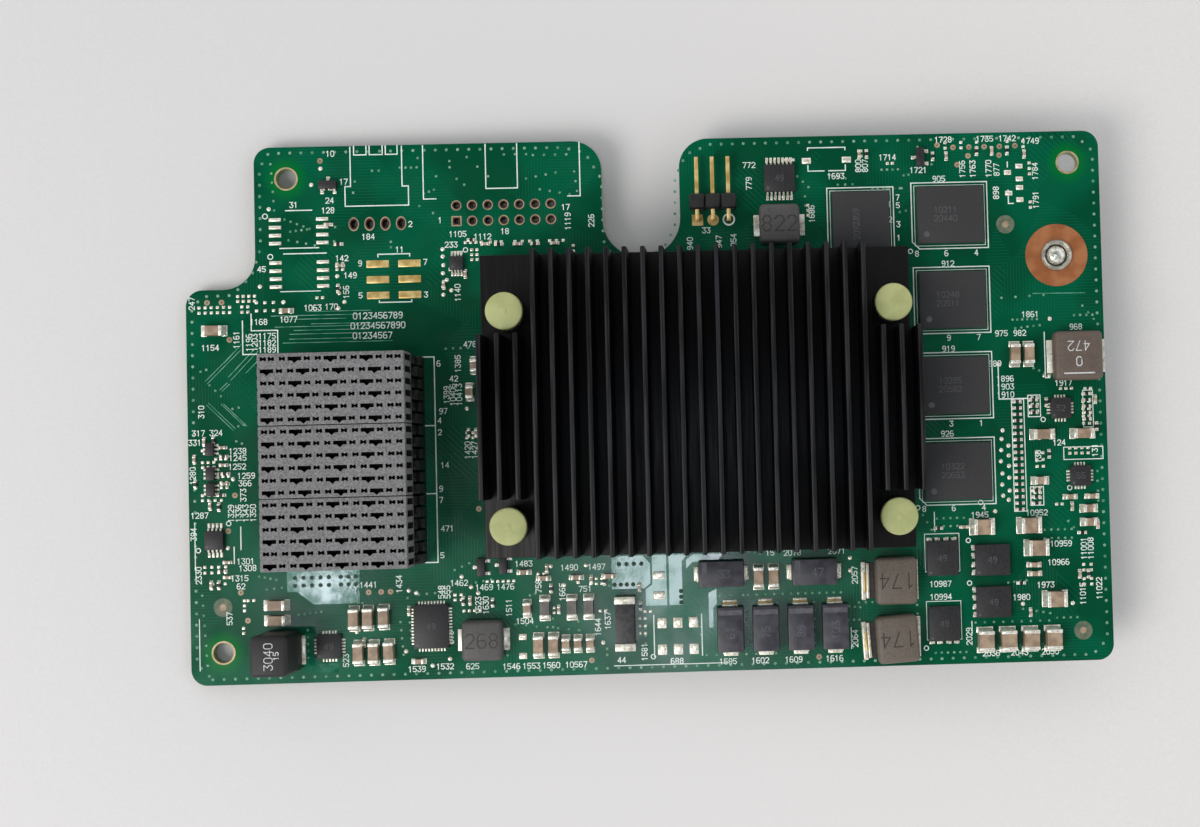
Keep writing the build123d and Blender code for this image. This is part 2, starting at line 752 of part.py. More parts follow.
with BuildPart() as power_inductor_terminals:
    for frame, body_size, tab_width, reaches in inductors:
        with BuildSketch(frame):
            terminal_pair(body_size[0], tab_width, reaches)
        extrude(amount=terminal_thickness)
power_inductor_terminals.part.label = "power_inductor_terminals"
export_step(power_inductor_terminals.part, "parts/power_inductor_terminals.step")

# Tantalum capacitors: a block straight to its leads and drafted above, a lead folded down each end
tantalum_frames = [frame_at(share) for share in lengthwise_tantalum_shares]
tantalum_frames += [frame_at(share, 90) for share in crosswise_tantalum_shares]
for number, frame in enumerate(tantalum_frames, start=1):
    with BuildPart() as tantalum_capacitor:
        with BuildSketch(frame):
            Rectangle(tantalum_length, tantalum_width)
        extrude(amount=tantalum_lead_height)
        with BuildSketch(frame.offset(tantalum_lead_height)):
            Rectangle(tantalum_length, tantalum_width)
        extrude(amount=tantalum_height - tantalum_lead_height, taper=tantalum_draft)
    tantalum_capacitor.part.label = f"tantalum_capacitor_{number}"
    export_step(tantalum_capacitor.part, f"parts/tantalum_capacitor_{number}.step")


def sloped_leads(frame, body_across, height, reach, thickness, width, places, sides=(-1, 1)):
    """Leads that slope out of a body's sides down to the board, at places along its length."""
    for place in places:
        lead_side = Plane(
            origin=frame.from_local_coords((place, 0, 0)), x_dir=frame.y_dir, z_dir=frame.x_dir
        )
        with BuildSketch(lead_side) as lead_profile:
            for side in sides:
                Polygon(
                    (side * body_across / 2, height),
                    (side * (body_across / 2 + reach), thickness),
                    (side * (body_across / 2 + reach), 0),
                    (side * body_across / 2, height - thickness),
                    align=None,
                )
        extrude(lead_profile.sketch, amount=width / 2, both=True)


def row_places(count, pitch):
    """Evenly pitched places about a row's middle."""
    return [(2 * index - count + 1) * pitch / 2 for index in range(count)]


with BuildPart() as tantalum_leads:
    for frame in tantalum_frames:
        with BuildSketch(frame):
            with GridLocations(
                tantalum_length + tantalum_lead_thickness, tantalum_lead_width, 2, 1
            ):
                Rectangle(tantalum_lead_thickness, tantalum_lead_width)
        extrude(amount=tantalum_lead_height)
tantalum_leads.part.label = "tantalum_leads"
export_step(tantalum_leads.part, "parts/tantalum_leads.step")

# Power bead: a ferrite block with a metal cap on each end
bead_frame = frame_at(bead_share, 90)
with BuildPart() as power_bead:
    with BuildSketch(bead_frame):
        Rectangle(bead_length - 2 * bead_cap_length, bead_width)
    extrude(amount=bead_height)
power_bead.part.label = "power_bead"
export_step(power_bead.part, "parts/power_bead.step")

with BuildPart() as power_bead_caps:
    with BuildSketch(bead_frame):
        with GridLocations(bead_length - bead_cap_length, bead_length, 2, 1):
            Rectangle(bead_cap_length, bead_width + 2 * bead_cap_overhang)
    extrude(amount=bead_height + bead_cap_overhang)
power_bead_caps.part.label = "power_bead_caps"
export_step(power_bead_caps.part, "parts/power_bead_caps.step")

# Power transistors: flat blocks with four leads along one end
transistor_frames = [frame_at(share, turn) for share, turn in zip(transistor_shares, transistor_turns)]
for number, frame in enumerate(transistor_frames, start=1):
    with BuildPart() as power_transistor:
        with BuildSketch(frame):
            Rectangle(transistor_width, transistor_length)
        extrude(amount=transistor_height)
    power_transistor.part.label = f"power_transistor_{number}"
    export_step(power_transistor.part, f"parts/power_transistor_{number}.step")

with BuildPart() as power_transistor_leads:
    for frame in transistor_frames:
        with BuildSketch(frame):
            with Locations((0, transistor_length / 2)):
                with GridLocations(transistor_lead_pitch, transistor_lead_pitch, transistor_lead_count, 1):
                    Rectangle(
                        transistor_lead_width,
                        transistor_lead_reach,
                        align=(Align.CENTER, Align.MIN),
                    )
        extrude(amount=transistor_lead_thickness)
power_transistor_leads.part.label = "power_transistor_leads"
export_step(power_transistor_leads.part, "parts/power_transistor_leads.step")


def block_node(name, groups):
    """One node of plain blocks: each group has its shares, its turn and the block's size."""
    with BuildPart() as blocks:
        for shares, turn, size in groups:
            for share in shares:
                with BuildSketch(frame_at(share, turn)):
                    Rectangle(size[0], size[1])
                extrude(amount=size[2])
    blocks.part.label = name
    export_step(blocks.part, f"parts/{name}.step")


# Leadless chips
block_node(
    "power_controller",
    [([controller_share], 0, (controller_length, controller_width, leadless_height))],
)
block_node(
    "regulators",
    [
        (regulator_shares, 0, (regulator_size, regulator_size, leadless_height)),
        (small_regulator_shares, 0, (small_regulator_size, small_regulator_size, leadless_height)),
    ],
)

# Leaded chips: bodies, then the leads of each
block_node("logic_chip", [([logic_share], 0, (logic_length, logic_width, logic_height))])
with BuildPart() as logic_chip_leads:
    sloped_leads(
        frame_at(logic_share),
        logic_width,
        logic_height / 2,
        logic_lead_reach,
        logic_lead_thickness,
        logic_lead_width,
        row_places(logic_lead_count, logic_lead_pitch),
    )
logic_chip_leads.part.label = "logic_chip_leads"
export_step(logic_chip_leads.part, "parts/logic_chip_leads.step")

switch_size = (switch_length, switch_width, switch_height)
small_transistor_size = (small_transistor_length, small_transistor_width, sensor_height)
block_node("sensor_chip", [(sensor_shares, 0, (sensor_size, sensor_size, sensor_height))])
block_node("clock_chip", [(clock_shares, 0, (clock_size, clock_size, sensor_height))])
block_node("switch_chips", [(switch_shares, 0, switch_size)])
block_node(
    "small_transistors",
    [
        ([share], turn, small_transistor_size)
        for share, turn in zip(small_transistor_shares, small_transistor_turns)
    ],
)
with BuildPart() as small_chip_leads:
    for share in sensor_shares:
        sloped_leads(
            frame_at(share),
            sensor_size,
            sensor_height / 2,
            sensor_lead_reach,
            logic_lead_thickness,
            sensor_lead_width,
            row_places(sensor_lead_count, sensor_lead_pitch),
        )
    for share in clock_shares:
        sloped_leads(
            frame_at(share),
            clock_size,
            sensor_height / 2,
            clock_lead_reach,
            logic_lead_thickness,
            logic_lead_width,
            row_places(sensor_lead_count, clock_lead_pitch),
        )
    for share in switch_shares:
        sloped_leads(
            frame_at(share, 90),
            switch_length,
            switch_height / 2,
            switch_lead_reach,
            logic_lead_thickness,
            logic_lead_width,
            row_places(switch_lead_count, switch_lead_pitch),
        )
    for share, turn in zip(small_transistor_shares, small_transistor_turns):
        lead_frame = frame_at(share, turn)
        sloped_leads(
            lead_frame,
            small_transistor_width,
            sensor_height / 2,
            small_transistor_lead_reach,
            logic_lead_thickness,
            small_transistor_lead_width,
            row_places(1, small_transistor_length),
            sides=(1,),
        )
        sloped_leads(
            lead_frame,
            small_transistor_width,
            sensor_height / 2,
            small_transistor_lead_reach,
            logic_lead_thickness,
            small_transistor_lead_width,
            row_places(2, small_transistor_length - 2 * small_transistor_lead_width),
            sides=(-1,),
        )
small_chip_leads.part.label = "small_chip_leads"
export_step(small_chip_leads.part, "parts/small_chip_leads.step")

# Chip capacitors, ferrite beads and resistors
large_chip_size = (large_chip_length, large_chip_width, large_chip_height)
middle_chip_size = (middle_chip_length, middle_chip_width, middle_chip_height)
ferrite_chip_size = (middle_chip_length, middle_chip_width, ferrite_chip_height)
small_chip_size = (small_chip_length, small_chip_width, small_chip_height)
tiny_chip_size = (tiny_chip_length, tiny_chip_width, tiny_chip_height)
block_node(
    "large_chip_capacitors",
    [(large_chip_along_shares, 0, large_chip_size), (large_chip_across_shares, 90, large_chip_size)],
)
block_node(
    "chip_capacitors",
    [
        (middle_chip_along_shares, 0, middle_chip_size),
        (middle_chip_across_shares, 90, middle_chip_size),
        (pale_chip_across_shares, 90, middle_chip_size),
        (small_chip_along_shares, 0, small_chip_size),
        (small_chip_across_shares, 90, small_chip_size),
        (tiny_chip_along_shares, 0, tiny_chip_size),
    ],
)
block_node("ferrite_beads", [(ferrite_chip_across_shares, 90, ferrite_chip_size)])
resistor_pitch = card_width * resistor_pitch_share
with BuildPart() as chip_resistors:
    for share, count in zip(resistor_column_shares, resistor_column_counts):
        with BuildSketch(frame_at(share)):
            with GridLocations(resistor_pitch, resistor_pitch, 1, count):
                Rectangle(resistor_length, resistor_width)
        extrude(amount=resistor_height)
chip_resistors.part.label = "chip_resistors"
export_step(chip_resistors.part, "parts/chip_resistors.step")
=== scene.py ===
import math
import random

import bmesh
import bpy
from mathutils import Matrix, Vector


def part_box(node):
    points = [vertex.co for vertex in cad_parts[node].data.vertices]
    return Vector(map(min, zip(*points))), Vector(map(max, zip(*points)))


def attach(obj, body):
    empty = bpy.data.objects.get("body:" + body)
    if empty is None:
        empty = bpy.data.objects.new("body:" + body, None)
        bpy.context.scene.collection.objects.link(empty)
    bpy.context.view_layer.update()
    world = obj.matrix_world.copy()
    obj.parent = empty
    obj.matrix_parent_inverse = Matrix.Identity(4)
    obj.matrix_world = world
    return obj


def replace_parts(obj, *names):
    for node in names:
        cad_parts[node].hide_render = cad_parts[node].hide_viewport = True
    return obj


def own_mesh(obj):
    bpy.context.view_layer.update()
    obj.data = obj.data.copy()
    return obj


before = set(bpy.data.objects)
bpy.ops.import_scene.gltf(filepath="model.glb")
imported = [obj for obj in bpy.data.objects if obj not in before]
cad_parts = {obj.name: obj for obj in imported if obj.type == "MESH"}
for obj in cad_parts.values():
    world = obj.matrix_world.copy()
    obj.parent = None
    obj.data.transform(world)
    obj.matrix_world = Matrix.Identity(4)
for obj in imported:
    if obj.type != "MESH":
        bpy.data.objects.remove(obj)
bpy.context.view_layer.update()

random.seed(7)

# Circuit board: glass-epoxy laminate under a glossy green solder mask. The mask is darker over bare
# laminate and lighter over copper. Round the three mounting holes, where no copper lies, it is painted a
# lighter green as a painted glow.
# The sides show the routed laminate.
MM = 0.001
CARD_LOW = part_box("circuit_board")[0]
BOARD_THICKNESS = 1.6
MOUNT_HOLES = ((5.15, 5.15), (16.35, 81.15), (143.25, 81.15))
CAPTIVE_PLACE = (141.0, 65.98)


def spot(x, y, z=0.0):
    """A point of the row frame from millimetres along the card, across it and above its face."""
    return Vector((CARD_LOW.x + x * MM, CARD_LOW.y + y * MM, z * MM))


def linear(code):
    """A linear colour from an sRGB hex code."""
    channels = [int(code[i:i + 2], 16) / 255 for i in (1, 3, 5)]
    return [c / 12.92 if c <= 0.04045 else ((c + 0.055) / 1.055) ** 2.4 for c in channels] + [1.0]


SMOOTH, COLOUR = {"interpolation_type": "SMOOTHSTEP"}, {"data_type": "RGBA"}


def add(tree, kind, inputs=None, output=None, **settings):
    """Adds a node with its settings and links, and gives the output that is named, or its first in use.

    Each input is a value, a hex colour, or the output that feeds it."""
    node = tree.nodes.new(kind)
    for name, value in settings.items():
        setattr(node, name, value)
    for name, value in (inputs or {}).items():
        socket = node.inputs[name]
        if isinstance(name, str):
            socket = [s for s in node.inputs if s.name == name and s.enabled][0]
        if isinstance(value, bpy.types.NodeSocket):
            tree.links.new(value, socket)
        else:
            socket.default_value = linear(value) if isinstance(value, str) else value
    return node.outputs[output] if output else next((s for s in node.outputs if s.enabled), None)


def blank(name):
    """A new material with its node tree, its shader and the object coordinates."""
    made = bpy.data.materials.new(name)
    made.use_nodes = True
    tree = made.node_tree
    tree.nodes.clear()
    surface = add(tree, "ShaderNodeBsdfPrincipled")
    add(tree, "ShaderNodeOutputMaterial", {"Surface": surface})
    return made, tree, surface.node, add(tree, "ShaderNodeTexCoord", None, "Object")


def finish(name, first, second, spread, rough, grain=0.0, relief=0.0, metallic=0.0):
    """A material that drifts between two shades over `spread` mm, with a grain and relief in mm."""
    made, tree, shader, where = blank(name)
    drift = add(tree, "ShaderNodeTexNoise", {"Vector": where, "Scale": 1 / (spread * MM)})
    share = add(tree, "ShaderNodeMapRange", {"Value": drift, "From Min": 0.35, "From Max": 0.65}, **SMOOTH)
    shade = add(tree, "ShaderNodeMix", {"Factor": share, "A": first, "B": second}, **COLOUR)
    sheen = add(
        tree, "ShaderNodeMapRange",
        {"Value": drift, "From Min": 0.3, "From Max": 0.7, "To Min": rough - 0.05, "To Max": rough + 0.05}, **SMOOTH,
    )
    tree.links.new(shade, shader.inputs["Base Color"])
    tree.links.new(sheen, shader.inputs["Roughness"])
    shader.inputs["Metallic"].default_value = metallic
    if grain:
        pores = add(tree, "ShaderNodeTexNoise", {"Vector": where, "Scale": 1 / (grain * MM)})
        bump = add(tree, "ShaderNodeBump", {"Height": pores, "Distance": relief * MM})
        tree.links.new(bump, shader.inputs["Normal"])
    return made


# Mask colour: copper lies under it in patches whose fine lines run along, across or slantwise
# at half a millimetre, coarse enough to show. It gives the eye a wet gloss over a slightly uneven green.
PATCH_SIZE = 8
LINE_PITCH = 0.5
solder_mask, tree, shader, where = blank("green_solder_mask")
patch = add(tree, "ShaderNodeTexVoronoi", {"Vector": where, "Scale": 1 / (PATCH_SIZE * MM)}, "Color")
pick = add(tree, "ShaderNodeSeparateColor", {"Color": patch}).node.outputs
routed = None
for way, limits in (("Y", None), ("X", (0.44, 0.46)), ("DIAGONAL", (0.74, 0.76))):
    bands = add(
        tree, "ShaderNodeTexWave", {"Vector": where, "Scale": math.pi / 10 / (LINE_PITCH * MM)}, "Fac",
        wave_type="BANDS", bands_direction=way,
    )
    if limits:
        chosen = {"Value": pick["Red"], "From Min": limits[0], "From Max": limits[1]}
        share = add(tree, "ShaderNodeMapRange", chosen, **SMOOTH)
        bands = add(tree, "ShaderNodeMix", {"Factor": share, "A": routed, "B": bands}, **COLOUR)
    routed = bands
cloud = add(tree, "ShaderNodeTexNoise", {"Vector": where, "Scale": 1 / (14 * MM)})
share = add(tree, "ShaderNodeMapRange", {"Value": cloud, "From Min": 0.42, "From Max": 0.6}, **SMOOTH)
green = add(tree, "ShaderNodeMix", {"Factor": share, "A": "#00482F", "B": "#00573B"}, **COLOUR)
crests = add(tree, "ShaderNodeMapRange", {"Value": routed, "From Min": 0.72, "From Max": 0.9}, **SMOOTH)
dense = {"Value": pick["Green"], "From Min": 0.5, "From Max": 0.52, "To Max": 0.3}
lines = add(
    tree, "ShaderNodeMath", {0: crests, 1: add(tree, "ShaderNodeMapRange", dense, **SMOOTH)}, operation="MULTIPLY",
)
green = add(tree, "ShaderNodeMix", {"Factor": lines, "A": green, "B": "#0C6F52"}, **COLOUR)
# Painted glow: the mask turns a lighter green within about 4 mm of each mounting hole.
for hole in MOUNT_HOLES:
    away = add(tree, "ShaderNodeVectorMath", {0: where, 1: spot(*hole)}, "Value", operation="DISTANCE")
    halo = {"Value": away, "From Min": 1.9 * MM, "From Max": 4.1 * MM, "To Min": 0.85, "To Max": 0}
    glow = add(tree, "ShaderNodeMapRange", halo, **SMOOTH)
    green = add(tree, "ShaderNodeMix", {"Factor": glow, "A": green, "B": "#006A2C"}, **COLOUR)

# The routed sides show yellow-green laminate, told from the mask by which way the surface faces
upright = add(tree, "ShaderNodeNewGeometry", None, "True Normal")
facing = add(tree, "ShaderNodeSeparateXYZ", {"Vector": upright}, "Z")
side = add(tree, "ShaderNodeMath", {0: facing}, operation="ABSOLUTE")
fibre = add(tree, "ShaderNodeTexNoise", {"Vector": where, "Scale": 1 / (0.5 * MM)})
laminate = add(tree, "ShaderNodeMix", {"Factor": fibre, "A": "#5C7A45", "B": "#8A8C58"}, **COLOUR)
share = add(tree, "ShaderNodeMapRange", {"Value": side, "From Min": 0.3, "From Max": 0.7}, **SMOOTH)
green = add(tree, "ShaderNodeMix", {"Factor": share, "A": laminate, "B": green}, **COLOUR)
ripple = add(tree, "ShaderNodeTexNoise", {"Vector": where, "Scale": 1 / (6 * MM)})
gloss = {"Value": ripple, "From Min": 0.3, "From Max": 0.7, "To Min": 0.16, "To Max": 0.24}
relief = add(tree, "ShaderNodeBump", {"Height": lines, "Distance": 0.012 * MM})
tree.links.new(green, shader.inputs["Base Color"])
tree.links.new(add(tree, "ShaderNodeMapRange", gloss, **SMOOTH), shader.inputs["Roughness"])
tree.links.new(relief, shader.inputs["Normal"])
shader.inputs["IOR"].default_value = 1.5
shader.inputs["Specular IOR Level"].default_value = 0.3


def coat(piece, *materials):
    """Gives a piece its materials, in place of any it has."""
    piece.data.materials.clear()
    for made in materials:
        piece.data.materials.append(made)


coat(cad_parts["circuit_board"], solder_mask)

# Plating and ink on the board's face: bare copper pads and rings, tinned pads, drilled and plated
# holes, stitching vias, routed pairs of lines under the mask and the printed outlines and numbers.
COPPER_LIFT = 0.025
INK_LIFT = 0.04
LINE_WIDTH = 0.18
SHEET_STEP = 0.0006

# What these finishes give the eye: bare copper is warm and dull, lacquered copper paler and browner,
# tinned rims straw grey, solder bright and lumpy, gold a soft yellow and barrel walls copper red-brown,
# darkened with painted shade for the dark inside of the holes. The ink is chalky white. Mask over lines and
# vias is a paler green, and over pours it mirrors a lamp. The photograph has about six pixels to the
# millimetre, so grains finer than 0.15 mm are drawn that coarse.
bare_copper = finish("bare_copper_pad", "#A1623A", "#B3754B", 3.0, 0.42, 0.15, 0.004, 0.35)
aged_copper = finish("lacquered_copper_ring", "#94806A", "#AE987E", 1.2, 0.4, 0.2, 0.004, 0.1)
rim_plating = finish("tinned_hole_rim", "#A9966E", "#C6B48C", 1.2, 0.38, 0.2, 0.004, 0.3)
tin_solder = finish("tin_solder", "#E2DCC8", "#FFFBF0", 0.5, 0.26, 0.35, 0.03, 0.5)
gold_plate = finish("gold_plate", "#C2A05A", "#E2C888", 1.5, 0.34, 0.2, 0.005, 0.35)
shaded_hole_wall = finish("plated_hole_barrel_painted_shade", "#2C1410", "#472019", 0.6, 0.6, 0.2, 0.01, 0.2)
white_ink = finish("white_screen_ink", "#CFE3D9", "#EAF3EE", 2.0, 0.6, 0.2, 0.004)
mask_line = finish("mask_over_copper_line", "#4A9176", "#7DB29C", 2.0, 0.3, 0.3, 0.004)
via_mask = finish("mask_over_via", "#3F7F60", "#7FA58C", 0.8, 0.35, 0.2, 0.01)
pour_mask = finish("mask_over_copper_pour", "#0B5A42", "#17684E", 3.0, 0.1, 0.6, 0.006)


def clear_selection():
    """Leaves nothing selected, in object mode."""
    for chosen in bpy.context.selected_objects:
        chosen.select_set(False)


def own(piece, name, *materials):
    """Names a finished object and its mesh, and gives it its materials."""
    piece.name = piece.data.name = name
    if materials:
        coat(piece, *materials)
    return piece


def block(size, centre, *materials):
    """A block of a size in mm about a point in metres."""
    clear_selection()
    bpy.ops.mesh.primitive_cube_add(size=MM, location=centre)
    made = bpy.context.object
    made.scale = size
    bpy.ops.object.transform_apply(location=True, rotation=True, scale=True)
    coat(made, *materials)
    return made


def rod(radius, height, foot, sides=32, *materials):
    """A round bar in mm that stands on a point in metres."""
    clear_selection()
    bpy.ops.mesh.primitive_cylinder_add(
        vertices=sides, radius=radius * MM, depth=height * MM, location=foot + Vector((0, 0, height * MM / 2))
    )
    made = bpy.context.object
    bpy.ops.object.transform_apply(location=True, rotation=True, scale=True)
    coat(made, *materials)
    return made


def modify(piece, kind, **settings):
    """Adds one modifier to a piece and applies it."""
    clear_selection()
    bpy.context.view_layer.objects.active = piece
    piece.select_set(True)
    step = piece.modifiers.new("step", kind)
    for name, value in settings.items():
        setattr(step, name, value)
    bpy.ops.object.modifier_apply(modifier=step.name)
    return piece


def soften(piece, width, segments=2, angle=35):
    """Rounds the edges of a piece by a width in mm."""
    modify(
        piece, "BEVEL", width=width * MM, segments=segments, limit_method="ANGLE",
        angle_limit=math.radians(angle), harden_normals=False,
    )
    bpy.ops.object.shade_smooth_by_angle(angle=math.radians(40))
    return piece


def join(pieces, name):
    """Joins pieces into one object under a name."""
    clear_selection()
    for each in pieces:
        each.select_set(True)
    bpy.context.view_layer.objects.active = pieces[0]
    bpy.ops.object.join()
    return own(bpy.context.object, name)


def copy_to(template, where, turn=0.0):
    """A copy of a template, with its own mesh, turned in degrees and put at a point."""
    twin = template.copy()
    twin.data = template.data.copy()
    bpy.context.scene.collection.objects.link(twin)
    twin.data.transform(Matrix.Translation(where) @ Matrix.Rotation(math.radians(turn), 4, "Z"))
    return twin


def drop(*templates):
    """Removes templates that have been copied."""
    for template in templates:
        bpy.data.objects.remove(template)


def flat(name, faces, material, height):
    """A flat piece on the board from outlines in mm on the card, none in quite the same plane."""
    points, loops = [], []
    for i, outline in enumerate(faces):
        loops.append(range(len(points), len(points) + len(outline)))
        points.extend(spot(x, y, height + i % 7 * SHEET_STEP) for x, y in outline)
    mesh = bpy.data.meshes.new(name)
    mesh.from_pydata(points, [], [list(loop) for loop in loops])
    made = bpy.data.objects.new(name, mesh)
    bpy.context.scene.collection.objects.link(made)
    coat(made, material)
    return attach(made, "card")


def disc(x, y, radius, sides=10):
    """The outline of a small round spot."""
    return [
        (x + radius * math.cos(2 * math.pi * i / sides), y + radius * math.sin(2 * math.pi * i / sides))
        for i in range(sides)
    ]


def slab(x, y, length, width):
    """The outline of a rectangle about a place."""
    return [
        (x - length / 2, y - width / 2), (x + length / 2, y - width / 2),
        (x + length / 2, y + width / 2), (x - length / 2, y + width / 2),
    ]


def stroke(points, width=LINE_WIDTH):
    """The outlines of the straight strokes of a drawn line, each a little long to close its corners."""
    strokes = []
    for (x1, y1), (x2, y2) in zip(points, points[1:]):
        run = math.hypot(x2 - x1, y2 - y1)
        along = ((x2 - x1) / run * width / 2, (y2 - y1) / run * width / 2)
        strokes.append([
            (x1 - along[0] + along[1], y1 - along[1] - along[0]),
            (x2 + along[0] + along[1], y2 + along[1] - along[0]),
            (x2 + along[0] - along[1], y2 + along[1] + along[0]),
            (x1 - along[0] - along[1], y1 - along[1] + along[0]),
        ])
    return strokes


def ring(x, y, inner, outer, sides=24):
    """The outlines of the quads of a flat ring."""
    inside, outside = disc(x, y, inner, sides), disc(x, y, outer, sides)
    return [
        [inside[i], outside[i], outside[(i + 1) % sides], inside[(i + 1) % sides]] for i in range(sides)
    ]


def corners(low_x, low_y, high_x, high_y):
    """The points of the drawn line round a rectangle."""
    return [(low_x, low_y), (high_x, low_y), (high_x, high_y), (low_x, high_y), (low_x, low_y)]


def raised(name, outlines, material, thickness, foot=0.0):
    """A thin plate over a height of the board for each outline."""
    plate = flat(name, outlines, material, foot)
    modify(plate, "SOLIDIFY", thickness=thickness * MM, offset=1.0)
    return plate


def domed(name, outlines, material, height):
    """A low pillow of solder on the board for each outline, highest in its middle."""
    points, faces = [], []
    for outline in outlines:
        count = len(outline)
        middle = [sum(p[i] for p in outline) / count for i in (0, 1)]
        half = min(max(abs(p[i] - middle[i]) for p in outline) for i in (0, 1))
        first = len(points)
        for rise, inset in ((0, 0), (0.5, 0.1), (0.85, 0.32), (1, 0.62)):
            for p in outline:
                shift = [p[i] - middle[i] for i in (0, 1)]
                kept = [math.copysign(max(abs(s) - inset * half, 0.02), s) for s in shift]
                points.append(spot(middle[0] + kept[0], middle[1] + kept[1], height * rise))
        for level in range(3):
            base = first + level * count
            faces += [
                (base + i, base + (i + 1) % count, base + count + (i + 1) % count, base + count + i)
                for i in range(count)
            ]
        faces += [tuple(range(first + 3 * count, first + 4 * count)), tuple(range(first + count - 1, first - 1, -1))]
    mesh = bpy.data.meshes.new(name)
    mesh.from_pydata(points, [], faces)
    made = bpy.data.objects.new(name, mesh)
    bpy.context.scene.collection.objects.link(made)
    coat(made, material)
    clear_selection()
    made.select_set(True)
    bpy.context.view_layer.objects.active = made
    bpy.ops.object.shade_smooth_by_angle(angle=math.radians(60))
    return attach(made, "card")


LAND_OUTER = 5.1
rim_faces = [face for hole in MOUNT_HOLES for face in ring(*hole, 1.62, 1.9, 40)]
raised("captive_screw_copper_land", ring(*CAPTIVE_PLACE, 2.56, LAND_OUTER, 64), bare_copper, COPPER_LIFT * 2)
raised("mounting_hole_rims", rim_faces, rim_plating, COPPER_LIFT)

FIDUCIALS = ((132.79, 71.21), (5.18, 12.39), (143.5, 4.86))
DEBUG_PLACE, DEBUG_PITCH = (51.27, 74.98), 2.54
FAN_PLACE = (30.91, 73.57)
JUMPER_PLACE = (85.17, 73.0)
debug_holes = [
    (DEBUG_PLACE[0] + (column - 3) * DEBUG_PITCH, DEBUG_PLACE[1] + (row - 0.5) * DEBUG_PITCH)
    for column in range(7) for row in range(2)
]
fan_holes = [(FAN_PLACE[0] + (column - 1.5) * DEBUG_PITCH, FAN_PLACE[1]) for column in range(4)]
jumper_holes = [(JUMPER_PLACE[0] + (column - 1) * DEBUG_PITCH, JUMPER_PLACE[1]) for column in range(3)]
first_x, first_y = debug_holes[0]
square_land = stroke(corners(first_x - 0.72, first_y - 0.72, first_x + 0.72, first_y + 0.72), 0.22)
debug_rings = [f for h in debug_holes[1:] for f in ring(*h, 0.66, 0.84, 24)]
raised("debug_header_lands", debug_rings + square_land, aged_copper, COPPER_LIFT)

# Oval lands stretch a ring along the card's width
oval_lands = []
for hole in fan_holes:
    for face in ring(*hole, 0.68, 0.84, 24):
        oval_lands.append([(x, hole[1] + (y - hole[1]) * 1.35) for x, y in face])
raised("fan_header_lands", oval_lands, aged_copper, COPPER_LIFT)

# Plated barrels line the drilled holes, copper red-brown inside and darkened with painted shade, and stand a hair out
# of both faces
BARREL_STAND = 0.012
barrels = [(*hole, 0.5, 1.0) for hole in debug_holes] + [(*hole, 0.52, 1.35) for hole in fan_holes]
barrel_walls = []
for x, y, radius, stretch in barrels:
    for face in ring(x, y, radius - 0.03, radius + 0.17, 20):
        barrel_walls.append([(px, y + (py - y) * stretch) for px, py in face])
barrel = flat("header_hole_barrels", barrel_walls, shaded_hole_wall, -BOARD_THICKNESS - BARREL_STAND)
modify(barrel, "SOLIDIFY", thickness=(BOARD_THICKNESS + 2 * BARREL_STAND) * MM, offset=1.0)

# The same holes have their lands on the back of the card
BACK = -BOARD_THICKNESS - COPPER_LIFT - 7 * SHEET_STEP
back_rings = [f for h in debug_holes + jumper_holes for f in ring(*h, 0.6, 0.92, 20)] + oval_lands
raised("header_lands_on_back", back_rings, tin_solder, COPPER_LIFT, BACK)
back_rims = rim_faces + ring(*CAPTIVE_PLACE, 3.75, LAND_OUTER, 64)
raised("hole_rims_on_back", back_rims, rim_plating, COPPER_LIFT, BACK)

via_spots = []
EDGE_INSET, EDGE_PITCH = 0.95, 1.8
edge_path = [
    (3.4, EDGE_INSET), (145, EDGE_INSET), (147.4, 3.4), (147.4, 83), (145, 85.35), (85.0, 85.35), (81, 83.8),
    (79.1, 80), (78.9, 72), (77.4, 69.2), (74, 66.6), (69, 66.8), (67.3, 70), (67.2, 80), (64.6, 84.4), (61, 85.35),
    (13.6, 85.35), (12.1, 83), (12.1, 70), (10.6, 65.6), (7.4, 62.5), (2.6, 62.4), (0.95, 60.4), (0.95, 3.4),
    (3.4, EDGE_INSET),
]
left_over = 0.0
for (x1, y1), (x2, y2) in zip(edge_path, edge_path[1:]):
    run = math.hypot(x2 - x1, y2 - y1)
    step = left_over
    while step < run:
        via_spots.append((x1 + (x2 - x1) * step / run, y1 + (y2 - y1) * step / run))
        step += EDGE_PITCH
    left_over = step - run
domed("stitching_vias", [disc(*place, 0.25, 8) for place in via_spots], via_mask, 0.03)

# Dressed spots by kind: bare copper dots, and the fiducials on their clearings
copper_dots = [
    (21.86, 83.96), (3.39, 61.39), (5.71, 61.39), (6.89, 55.32), (122.0, 84.43), (124.6, 84.0), (127.2, 84.0),
    (129.7, 84.0), (132.2, 84.0), (134.75, 84.07), (127.0, 82.57), (132.1, 82.57), (125.2, 81.14), (7.35, 30.3),
    (28.4, 14.2), (30.4, 14.2), (31.9, 14.2), (63.9, 2.3), (100.5, 1.8), (8.05, 14.7), (9.1, 10.2), (46.3, 27.1),
    (6.2, 24.6),
]
raised("copper_test_spots", [f for p in copper_dots for f in ring(*p, 0.12, 0.46, 14)], aged_copper, COPPER_LIFT)
raised("fiducial_dots", [disc(*place, 0.55, 20) for place in FIDUCIALS], aged_copper, COPPER_LIFT)
# Laminate with no mask is a dull grey-green
clearing = finish("bare_laminate_clearing", "#4E5F4C", "#6A705C", 1.0, 0.5, 0.3, 0.01)
flat("fiducial_clearings", [f for p in FIDUCIALS for f in ring(*p, 0.56, 1.5, 28)], clearing, 0.006)

